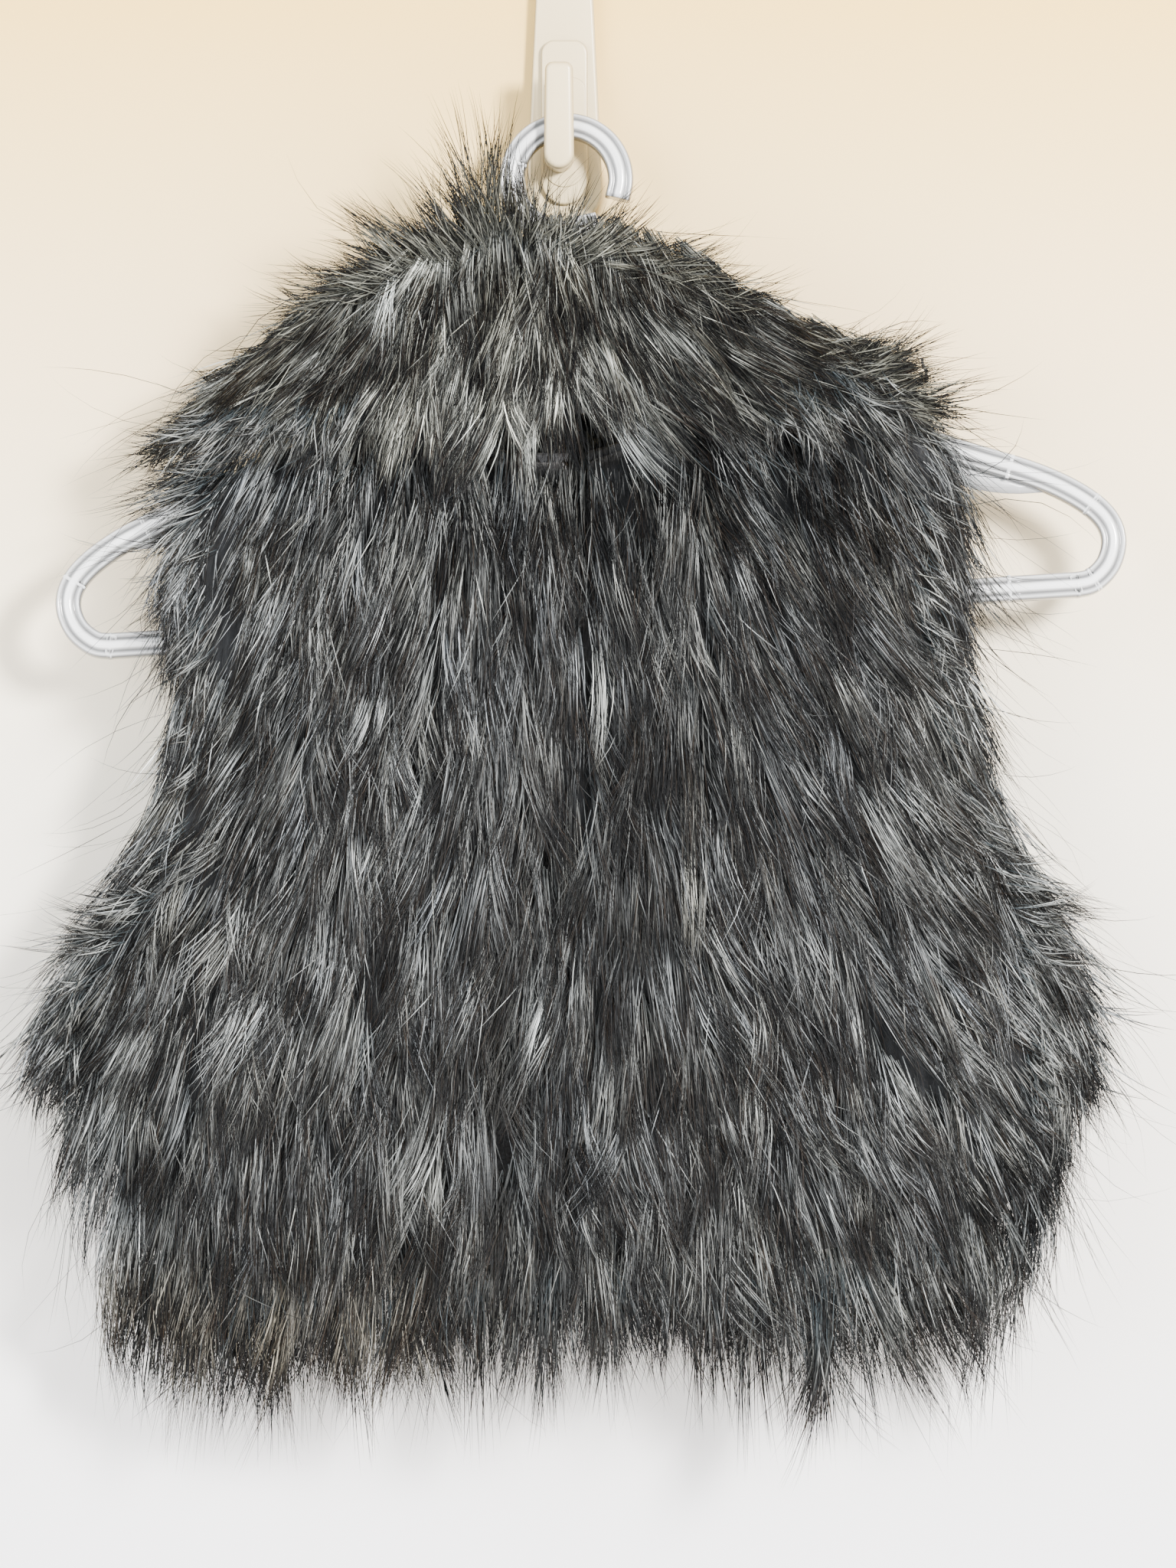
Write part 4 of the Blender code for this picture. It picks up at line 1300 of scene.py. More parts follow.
ARMHOLES = [
    Fringe(line, 280, 10, 0.00027, 35 + k, (0.002, 0.010), (0.0, 0.010), light_end=0.66)
    for k, line in enumerate((ARMHOLE_RIGHT, ARMHOLE_LEFT))
]
SKIRT = [
    Fringe(line, 110, 11, 0.00027, 41 + k, (0.001, 0.008), (0.004, 0.012), light_end=0.66, tone=0.7)
    for k, line in enumerate((SKIRT_RIGHT, SKIRT_LEFT))
]
HANGING = {"light_end": 0.40, "tone": 0.5, "scatter": 6.0, "shortest": 0.45}
CLOSE = {"light_end": 0.45, "tone": 0.5, "scatter": 1.5, "shortest": 0.75}
HEM = [
    *(
        Fringe(line, 130, 8, 0.00026, 51 + k, (0.003, 0.012), (0.0, 0.006), **HANGING)
        for k, line in enumerate((HEM_RIGHT, HEM_LEFT))
    ),
    Fringe(LONGEST_LOCK, 14, 15, 0.00030, 61, (0.002, 0.010), (0.0, 0.004), **CLOSE),
]
STRAYS = Strays(520, 0.046, 0.00021, 9, 0.9)


def variation_group() -> bpy.types.NodeTree:
    """A node group that makes a colour lighter and darker over the surface in streaks."""
    group = bpy.data.node_groups.new("streaked_tone", "ShaderNodeTree")
    face = group.interface
    for name, way, kind in (
        ("Color", "INPUT", "Color"),
        ("Vector", "INPUT", "Vector"),
        ("Scale", "INPUT", "Float"),
        ("Amount", "INPUT", "Float"),
        ("Color", "OUTPUT", "Color"),
        ("Height", "OUTPUT", "Float"),
    ):
        face.new_socket(name, in_out=way, socket_type=f"NodeSocket{kind}")
    nodes, links = group.nodes, group.links
    start = nodes.new("NodeGroupInput")
    end = nodes.new("NodeGroupOutput")
    noise = nodes.new("ShaderNodeTexNoise")
    noise.inputs["Detail"].default_value = 4.0
    spread = nodes.new("ShaderNodeMapRange")
    spread.inputs["From Min"].default_value = 0.3
    spread.inputs["From Max"].default_value = 0.7
    spread.inputs["To Min"].default_value = -1.0
    scaled = nodes.new("ShaderNodeMath")
    scaled.operation = "MULTIPLY_ADD"
    scaled.inputs[2].default_value = 1.0
    tint = nodes.new("ShaderNodeVectorMath")
    tint.operation = "SCALE"
    links.new(start.outputs["Vector"], noise.inputs["Vector"])
    links.new(start.outputs["Scale"], noise.inputs["Scale"])
    links.new(noise.outputs["Fac"], spread.inputs["Value"])
    links.new(spread.outputs["Result"], scaled.inputs[0])
    links.new(start.outputs["Amount"], scaled.inputs[1])
    links.new(start.outputs["Color"], tint.inputs[0])
    links.new(scaled.outputs["Value"], tint.inputs["Scale"])
    links.new(tint.outputs["Vector"], end.inputs["Color"])
    links.new(noise.outputs["Fac"], end.inputs["Height"])
    return group


STREAKS = variation_group()
COAT_ROUGHNESS = 0.12


@dataclass(frozen=True)
class Finish:
    """A finish whose colour varies over the surface.

    Attributes:
        name: the material's name.
        colour: its base colour, used where no attribute is read.
        roughness: how rough it is.
        specular: its specular level.
        scale: the scale of its variation.
        amount: how strongly it varies.
        bump: the height of its bumps, in metres.
        stretch: how much finer it varies along each axis.
        attribute: the colour attribute it reads, if any.
        sheen: how much soft sheen it has.
        coat: how much of a clear gloss lies on it.
    """

    name: str
    colour: tuple[float, float, float]
    roughness: float
    specular: float
    scale: float
    amount: float
    bump: float = 0.0
    stretch: tuple[float, float, float] = (1.0, 1.0, 1.0)
    attribute: str = ""
    sheen: float = 0.0
    coat: float = 0.0

    def make(self) -> bpy.types.Material:
        """Builds the material."""
        made = bpy.data.materials.new(self.name)
        made.use_nodes = True
        made.diffuse_color = (*self.colour, 1.0)
        nodes, links = made.node_tree.nodes, made.node_tree.links
        shader = nodes["Principled BSDF"]
        shader.inputs["Base Color"].default_value = (*self.colour, 1.0)
        for socket, value in (
            ("Roughness", self.roughness),
            ("Specular IOR Level", self.specular),
            ("Sheen Weight", self.sheen),
            ("Coat Weight", self.coat),
            ("Coat Roughness", COAT_ROUGHNESS),
        ):
            shader.inputs[socket].default_value = value
        place = nodes.new("ShaderNodeTexCoord")
        mapping = nodes.new("ShaderNodeMapping")
        mapping.inputs["Scale"].default_value = self.stretch
        links.new(place.outputs["Object"], mapping.inputs["Vector"])
        streaks = nodes.new("ShaderNodeGroup")
        streaks.node_tree = STREAKS
        streaks.inputs["Color"].default_value = (*self.colour, 1.0)
        streaks.inputs["Scale"].default_value = self.scale
        streaks.inputs["Amount"].default_value = self.amount
        links.new(mapping.outputs["Vector"], streaks.inputs["Vector"])
        if self.attribute:
            tint = nodes.new("ShaderNodeAttribute")
            tint.attribute_name = self.attribute
            links.new(tint.outputs["Color"], streaks.inputs["Color"])
        links.new(streaks.outputs["Color"], shader.inputs["Base Color"])
        if self.bump:
            bump = nodes.new("ShaderNodeBump")
            bump.inputs["Distance"].default_value = self.bump
            links.new(streaks.outputs["Height"], bump.inputs["Height"])
            links.new(bump.outputs["Normal"], shader.inputs["Normal"])
        return made


# How squarely a face must look to the hollow to carry the knit, how far in from the outline knit and
# undercoat end, and how deep the collar's knit lies inside it
INNER_WALL = 0.35
BACKING_INSET = 0.0050
UNDERCOAT_INSET = 0.0130
COLLAR_KNIT_DEPTH = 0.0100


@dataclass(frozen=True)
class Panel:
    """One panel of the vest or its collar: the knitted backing, the short undercoat and the long pile.

    Attributes:
        node: the CAD node that it stands for.
        flat: the width and length it was cut to; not used.
        area: the area of the cut; not used.
        facing: the side it looks to, or none where it has both.
        backing_thickness: how thick the knit is.
        pull_in: how far the undercoat lies below the pile's tips.
        raised: how far the knit and undercoat end above the pile's lower edge.
    """

    node: str
    flat: tuple[float, float]
    area: float
    facing: Facing | None = None
    backing_thickness: float = 0.0011
    pull_in: float = 0.0090
    raised: float = 0.0060

    def sunk(self, points: Array, depth: float) -> Array:
        """Points moved in from the CAD solid's faces, to at least a depth below them.

        Args:
            points: the points, one row each.
            depth: how far below the faces they should lie.

        Returns:
            The moved points.
        """
        points = points.copy()
        x, z = points[:, 0], points[:, 2]
        front = Relief(Facing.FRONT, self.node).height(x, z)
        back = Relief(Facing.BACK, self.node).height(x, z)
        clear = np.minimum(depth, 0.46 * (back - front))
        if self.facing is not Facing.BACK:
            points[:, 1] = np.maximum(points[:, 1], front + clear)
        if self.facing is not Facing.FRONT:
            points[:, 1] = np.minimum(points[:, 1], back - clear)
        return points

    def backing(self, finish: bpy.types.Material, outline: Relief) -> bpy.types.Object:
        """The knitted backing, a thin shell on the CAD solid's inner wall.

        Args:
            finish: its knit.
            outline: the relief whose outline it is drawn in from.

        Returns:
            The object.
        """
        made = copy_of_node(self.node, f"backing_{self.node}")
        mesh = bmesh.new()
        mesh.from_mesh(made.data)
        outside = []
        for face in mesh.faces:
            centre, normal = face.calc_center_median(), face.normal
            side = math.copysign(1.0, centre.y - float(middle_plane(np.array(centre.z))))
            toward_hollow = -normal.y * side
            if toward_hollow <= INNER_WALL:
                outside.append(face)
        bmesh.ops.delete(mesh, geom=outside, context="FACES")
        mesh.to_mesh(made.data)
        mesh.free()
        edit_all(
            made,
            lambda: bpy.ops.mesh.subdivide(number_cuts=1),
            lambda: bpy.ops.mesh.vertices_smooth(factor=0.4, repeat=2),
        )
        points = outline.drawn_in(points_of(made), BACKING_INSET, self.raised)
        if self.facing is None:
            points = self.sunk(points, COLLAR_KNIT_DEPTH)
        set_points(made, points)
        wall = made.modifiers.new("wall", "SOLIDIFY")
        wall.thickness = self.backing_thickness
        wall.offset = -1.0
        apply_modifiers(made)
        made.data.shade_smooth()
        return dress(made, finish, Slot.FUR)

    def undercoat(self, finish: bpy.types.Material, outline: Relief) -> bpy.types.Object:
        """The short dense pile, drawn in from the CAD solid's outer face.

        Args:
            finish: its colour.
            outline: the relief whose outline it is drawn in from.

        Returns:
            The object.
        """
        made = copy_of_node(self.node, f"undercoat_{self.node}")
        edit_all(made, lambda: bpy.ops.mesh.vertices_smooth(factor=0.5, repeat=3))
        points = outline.drawn_in(points_of(made), UNDERCOAT_INSET, self.raised)
        set_points(made, self.sunk(points, self.pull_in))
        made.data.shade_smooth()
        slot = Slot.FUR_COLLAR if self.facing is None else Slot.FUR
        return dress(made, finish, slot, self.node)


class HangerShape:
    """The moulded hanger: one loop of arms and bar, and a hook, all of one ribbed section."""

    MIDDLE = (0.0080, -0.1301)
    TURN = math.radians(3.63)
    HOOK_UP = 0.1175
    HOOK_RADIUS = 0.0164
    STEM_FOOT = 0.0690
    # Half of the loop's middle line, in the hanger's own axes
    ARM = (
        (0.0000, 0.0672),
        (0.0120, 0.0660),
        (0.0300, 0.0595),
        (0.0700, 0.0440),
        (0.1140, 0.0274),
        (0.1340, 0.0198),
        (0.1465, 0.0130),
        (0.1540, 0.0062),
        (0.1565, -0.0008),
        (0.1545, -0.0080),
        (0.1495, -0.0128),
        (0.1445, -0.0139),
        (0.1410, -0.0139),
        (0.1000, -0.0139),
        (0.0500, -0.0139),
    )
    # The section: across the bar's width, out of the hanger's plane, and its painted light there, a painted
    # highlight on the crest and painted shade in the grooves and at the edges
    SECTION = (
        (0.0000, 0.0036, 1.00),
        (0.0008, 0.0035, 0.92),
        (0.0013, 0.0031, 0.42),
        (0.0017, 0.0025, 0.17),
        (0.0020, 0.0024, 0.20),
        (0.0024, 0.0029, 0.44),
        (0.0029, 0.0032, 0.70),
        (0.0033, 0.0030, 0.32),
        (0.0036, 0.0024, 0.13),
        (0.0038, 0.0014, 0.09),
        (0.0038, 0.0000, 0.09),
    )
    PLASTIC = (0.86, 0.88, 0.90)
    RIB_EVERY = 0.0270
    RIB_HALF = 0.00040
    RIB_TOP = 0.0031
    RIB_INNER = 0.0034
    # A painted highlight on the ribs' tops, and painted shade on the bar's rounded ends
    RIB_HIGHLIGHT = 0.72
    END_SHADE = 0.6
    BAR_UP = -0.0139
    LOOP_STEPS = 8
    HOOK_STEPS = 4
    HOOK_TURNS = range(-60, -386, -18)
    # The leaf-shaped webs: where they start and how long they are, and how they hang below the arm
    WEB_STEPS = 12
    WEB_FROM = 0.086
    WEB_LONG = 0.052
    WEB_BELOW = 0.0030
    WEB_DROP = 0.0068
    WEB_LEAST = 0.0002
    WEB_HALF = 0.0005
    # Painted shade on the webs, deeper towards their lower edge
    WEB_SHADES = (0.74, 0.30)

    def on_hanger(self, across: float, up: float, out: float = 0.0) -> tuple[float, float, float]:
        """A point from the hanger's own axes to the row's, out being towards the front."""
        x = self.MIDDLE[0] + across * math.cos(self.TURN) - up * math.sin(self.TURN)
        z = self.MIDDLE[1] + across * math.sin(self.TURN) + up * math.cos(self.TURN)
        tilt = math.atan(LEAN)
        return (x, SEAT_Y + LEAN * z - out * math.cos(tilt), z + out * math.sin(tilt))

    def section(self) -> Array:
        """The whole section, all the way round."""
        quarter = np.array(self.SECTION)
        half = np.concatenate((quarter[:-1], quarter[::-1] * (1, -1, 1)))
        return np.concatenate((half[:-1], half[::-1] * (-1, 1, 1)))[:-1]

    def ribbed(self, line: Array) -> tuple[Array, Array]:
        """The line with points added where thin ribs cross it, and whether each point is on a rib."""
        steps = np.hypot(*np.diff(line, axis=0).T)
        travelled = np.concatenate(([0.0], np.cumsum(steps)))
        places = [(at, False) for at in travelled]
        for k in range(1, int(travelled[-1] / self.RIB_EVERY)):
            centre = k * self.RIB_EVERY
            places += [(centre + side * self.RIB_HALF, True) for side in (-1, 1)]
            places += [(centre + side * 1.6 * self.RIB_HALF, False) for side in (-1, 1)]
        places.sort()
        at = np.array([place for place, _ in places])
        fresh = np.concatenate(([True], np.diff(at) > 1e-5))
        points = np.stack([np.interp(at, travelled, line[:, k]) for k in (0, 1)], axis=1)
        return points[fresh], np.array([on_rib for _, on_rib in places])[fresh]

    def smooth_line(self, points: list[tuple[float, float]], steps: int, closed: bool) -> Array:
        """A smooth line through points, closed or open."""
        line = np.array(points)
        if closed:
            padded = np.concatenate((line[-1:], line, line[:2]))
        else:
            padded = np.concatenate(([2 * line[0] - line[1]], line, [2 * line[-1] - line[-2]]))
        t = (np.arange(steps) / steps)[:, None]
        made = []
        for k in range(1, len(padded) - 2):
            a, b, c, d = padded[k - 1 : k + 3]
            bend, twist = 2 * a - 5 * b + 4 * c - d, 3 * b - a - 3 * c + d
            made.append(0.5 * (2 * b + (c - a) * t + bend * t**2 + twist * t**3))
        if not closed:
            made.append(line[-1:])
        return np.concatenate(made)

    def sweep(self, name: str, line: Array, closed: bool) -> bpy.types.Object:
        """The section carried along a line in the hanger's plane.

        Args:
            name: the object's name.
            line: its middle line.
            closed: whether the line's ends join.

        Returns:
            The object.
        """
        section = self.section()
        line, on_rib = self.ribbed(line)
        if closed:
            along = np.roll(line, -1, axis=0) - np.roll(line, 1, axis=0)
        else:
            along = np.gradient(line, axis=0)
        along = normalised(along)
        aside = np.stack((-along[:, 1], along[:, 0]), axis=1)
        mesh = bmesh.new()
        rings = []
        painted_light_tones = []
        for point, way, rib in zip(line, aside, on_rib):
            ring = []
            for across, out, tone in section:
                place = point + way * across
                filled = max(out, self.RIB_TOP) if rib and out > 0.0 and across < self.RIB_INNER else out
                ring.append(mesh.verts.new(self.on_hanger(float(place[0]), float(place[1]), float(filled))))
                # Painted highlight and shade from the section, lighter on a rib's top
                painted_light_tones.append(max(tone, self.RIB_HIGHLIGHT) if rib and out > 0.001 else tone)
            rings.append(ring)
        pairs = list(zip(rings, rings[1:] + (rings[:1] if closed else [])))
        for near, far in pairs:
            for k in range(len(section)):
                m = (k + 1) % len(section)
                mesh.faces.new((near[k], near[m], far[m], far[k]))
        if not closed:
            for ring, sign in ((rings[0], -1), (rings[-1], 1)):
                self.round_end(mesh, ring, sign)
        made = closed_object(mesh, name)
        painted_light_tones += [self.END_SHADE] * (len(made.data.vertices) - len(painted_light_tones))
        paint(made, self.PLASTIC, np.array(painted_light_tones))
        return made

    @staticmethod
    def round_end(mesh: bmesh.types.BMesh, ring: list[bmesh.types.BMVert], sign: int) -> None:
        """Closes an open end of the bar with a low dome."""
        centre = sum((v.co for v in ring), Vector()) / len(ring)
        inner = [mesh.verts.new(centre + (v.co - centre) * 0.6) for v in ring]
        for k, vertex in enumerate(ring):
            m = (k + 1) % len(ring)
            mesh.faces.new((vertex, ring[m], inner[m], inner[k]))
        mesh.faces.new(inner[::sign])

    def web(self, name: str, side: int) -> bpy.types.Object:
        """The thin leaf-shaped web under an arm's outer part."""
        mesh = bmesh.new()
        upper, lower = [], []
        arm = np.array(self.ARM[:7])
        for k in range(self.WEB_STEPS + 1):
            share = k / self.WEB_STEPS
            across = self.WEB_FROM + self.WEB_LONG * share
            top = float(np.interp(across, arm[:, 0], arm[:, 1])) - self.WEB_BELOW
            drop = self.WEB_DROP * math.sin(math.pi * share) ** 0.8 + self.WEB_LEAST
            upper.append((side * across, top))
            lower.append((side * across, top - drop))
        (front_up, front_low), (back_up, back_low) = (
            [[mesh.verts.new(self.on_hanger(a, b, out)) for a, b in line] for line in (upper, lower)]
            for out in (self.WEB_HALF, -self.WEB_HALF)
        )
        for a, b, c, d in zip(front_up, front_up[1:], front_low[1:], front_low):
            mesh.faces.new((a, b, c, d))
        for a, b, c, d in zip(back_up, back_up[1:], back_low[1:], back_low):
            mesh.faces.new((d, c, b, a))
        for front, back in ((front_up, back_up), (front_low, back_low)):
            for k in range(self.WEB_STEPS):
                mesh.faces.new((front[k], front[k + 1], back[k + 1], back[k]))
        for k in (0, -1):
            mesh.faces.new((front_up[k], front_low[k], back_low[k], back_up[k]))
        made = closed_object(mesh, name)
        paint(made, self.PLASTIC, np.tile(np.repeat(self.WEB_SHADES, self.WEB_STEPS + 1), 2))
        return made

    def build(self, finish: bpy.types.Material) -> list[bpy.types.Object]:
        """Builds and dresses the hanger.

        Args:
            finish: its plastic.

        Returns:
            Its pieces.
        """
        right = [(-a, b) for a, b in self.ARM[1:]][::-1]
        ring = [*self.ARM, (0.0, self.BAR_UP), *right]
        loop = self.sweep("hanger_loop", self.smooth_line(ring, self.LOOP_STEPS, True), True)
        hook_line = [(0.0, self.STEM_FOOT), (0.0, self.STEM_FOOT + 0.014)]
        hook_line.append((-0.0004, self.HOOK_UP - self.HOOK_RADIUS - 0.0012))
        for degrees in self.HOOK_TURNS:
            turn = math.radians(degrees)
            hook_line.append(
                (self.HOOK_RADIUS * math.cos(turn), self.HOOK_UP + self.HOOK_RADIUS * math.sin(turn))
            )
        hook = self.sweep("hanger_hook_bar", self.smooth_line(hook_line, self.HOOK_STEPS, False), False)
        webs = [self.web("hanger_web_left", 1), self.web("hanger_web_right", -1)]
        for piece in (loop, hook, *webs):
            piece.data.shade_smooth()
        dress(loop, finish, Slot.HANGER, "hanger_arms", "hanger_bar")
        dress(hook, finish, Slot.HANGER, "hanger_hook")
        for piece in webs:
            dress(piece, finish, Slot.HANGER)
        return [loop, hook, *webs]


@dataclass(frozen=True)
class WallHookShape:
    """The adhesive wall hook: a tapered base, a raised pad, a seat and a prong, all with eased edges."""

    thick: float = 0.0042
    top: float = 0.0543
    bottom: float = -0.0258
    upper: float = 0.0086
    lower: float = 0.0115
    pad_half: float = 0.00705
    pad_thick: float = 0.0020
    prong_half: float = 0.00455
    pad_foot: float = -0.0195
    pad_top: float = 0.0303
    pad_corner: float = 0.0042
    slot_foot: float = -0.0080
    slot_top: float = 0.0152
    slot_corner: float = 0.0037
    prong_foot: float = -0.0098
    prong_top: float = 0.0223
    prong_corner: float = 0.0024
    prong_aside: float = 0.0018
    prong_back: float = -0.0180
    prong_front: float = -0.0220
    seat_x: float = -0.0016
    seat_long: float = 0.0150
    seat_y: float = -0.0120
    seat_top: float = -0.0008
    plastic: tuple[float, float, float] = (0.74, 0.61, 0.36)

    @staticmethod
    def arc(
        x: float, z: float, radius: float, first: float, last: float, steps: int
    ) -> list[tuple[float, float]]:
        """Points of an arc, angles in degrees."""
        turns = [math.radians(first + (last - first) * k / steps) for k in range(steps + 1)]
        return [(x + radius * math.cos(t), z + radius * math.sin(t)) for t in turns]

    def tongue(
        self,
        x: float,
        foot: float,
        radius: float,
        aside: float,
        top: float,
        corner: float,
        turn: int = 90,
        steps: int = 12,
    ) -> list[tuple[float, float]]:
        """An outline with a round foot and two rounded upper corners.

        Args:
            x: its middle.
            foot: the height of the foot's centre.
            radius: the foot's radius.
            aside: how far from the middle the corners' centres are.
            top: their height.
            corner: their radius.
            turn: how many degrees of arc each has.
            steps: the foot's steps.

        Returns:
            Its points, across and up.
        """
        return (
            self.arc(x, foot, radius, 180, 360, steps)
            + self.arc(x + aside, top, corner, 0, turn, 6)
            + self.arc(x - aside, top, corner, 180 - turn, 180, 6)
        )

    def slab(
        self, name: str, outline: list[tuple[float, float]], back: float, front: float, ease: float
    ) -> bpy.types.Object:
        """A flat outline made thick, with rounded edges.

        Args:
            name: the object's name.
            outline: its points, across and up.
            back: where its back is along Y.
            front: where its front is along Y.
            ease: the radius of its edges.

        Returns:
            The object.
        """
        mesh = bmesh.new()
        face = mesh.faces.new([mesh.verts.new((x, back, z)) for x, z in outline])
        grown = bmesh.ops.extrude_face_region(mesh, geom=[face])
        bmesh.ops.translate(
            mesh,
            vec=(0.0, front - back, 0.0),
            verts=[v for v in grown["geom"] if isinstance(v, bmesh.types.BMVert)],
        )
        made = closed_object(mesh, name)
        bevel = made.modifiers.new("eased", "BEVEL")
        bevel.width = ease
        bevel.segments = 4
        bevel.limit_method = "ANGLE"
        bevel.angle_limit = math.radians(50)
        apply_modifiers(made)
        bpy.ops.object.shade_smooth_by_angle(angle=math.radians(40))
        return made

    def build(self, finish: bpy.types.Material) -> list[bpy.types.Object]:
        """Builds and dresses the wall hook.

        Args:
            finish: its plastic.

        Returns:
            Its pieces.
        """
        plate = self.slab(
            "wall_hook_base",
            self.arc(0.0, self.bottom + self.lower, self.lower, 180, 360, 24)
            + self.arc(0.0, self.top - self.upper, self.upper, 0, 180, 20),
            0.0,
            -self.thick,
            0.0011,
        )
        pad_front = -self.thick - self.pad_thick
        half, corner = self.pad_half, self.pad_corner
        foot, top = self.pad_foot + half, self.pad_top - corner
        pad = self.slab(
            "wall_hook_pad",
            self.tongue(0.0, foot, half, half - corner, top, corner, 78, 16),
            -self.thick + 0.0010,
            pad_front,
            0.0009,
        )
        lip = self.slab(
            "wall_hook_slot",
            self.tongue(0.0, self.slot_foot, half - 0.0008, half - 0.0045, self.slot_top, self.slot_corner),
            pad_front + 0.0008,
            pad_front - 0.0004,
            0.0003,
        )
        deselect_all()
        bpy.ops.mesh.primitive_cylinder_add(
            vertices=32,
            radius=self.prong_half,
            depth=self.seat_long,
            location=(self.seat_x, self.seat_y, self.seat_top - self.prong_half),
            rotation=(math.radians(90.0), 0.0, 0.0),
        )
        seat = bpy.context.object
        seat.name = "wall_hook_seat"
        settle(seat)
        bpy.ops.object.shade_smooth_by_angle(angle=math.radians(40))
        prong = self.slab(
            "wall_hook_prong",
            self.tongue(
                self.seat_x,
                self.prong_foot + self.prong_half,
                self.prong_half,
                self.prong_aside,
                self.prong_top - self.prong_corner,
                self.prong_corner,
            ),
            self.prong_back,
            self.prong_front,
            0.0016,
        )
        pieces = [plate, pad, lip, seat, prong]
        # Painted shade on each piece's sides, more on the wearer's right, away from the key lamp
        for piece, sides in zip(pieces, (0.75, 0.70, 0.97, 0.55, 0.72)):
            shade_by_facing(piece, self.plastic, sides, 0.25)
        dress(plate, finish, Slot.HOOK, "wall_hook")
        for piece in pieces[1:]:
            dress(piece, finish, Slot.HOOK)
        return pieces


@dataclass(frozen=True)
class Lamp:
    """One soft lamp that looks at the vest.

    Attributes:
        name: its name.
        place: where it is.
        size: its width.
        power: its power in watts.
        colour: its colour.
    """

    AIM: ClassVar[tuple[float, float, float]] = (0.0, 0.0, -0.19)

    name: str
    place: tuple[float, float, float]
    size: float
    power: float
    colour: tuple[float, float, float]

    def add(self) -> None:
        """Puts the lamp into the scene."""
        data = bpy.data.lights.new(self.name, "AREA")
        data.shape = "DISK"
        data.size = self.size
        data.energy = self.power
        data.color = self.colour
        lamp = linked(self.name, data)
        lamp.location = self.place
        aim = Vector(self.AIM) - Vector(self.place)
        lamp.rotation_euler = aim.to_track_quat("-Z", "Y").to_euler()


LAMPS = (
    Lamp("key", (1.30, -2.0, 0.55), 0.5, 228.0, (1.0, 0.97, 0.94)),
    Lamp("fill", (-1.7, -1.7, 0.4), 2.0, 112.0, (0.95, 0.97, 1.0)),
    Lamp("behind", (0.3, 1.8, 0.8), 1.6, 150.0, (1.0, 1.0, 1.0)),
)


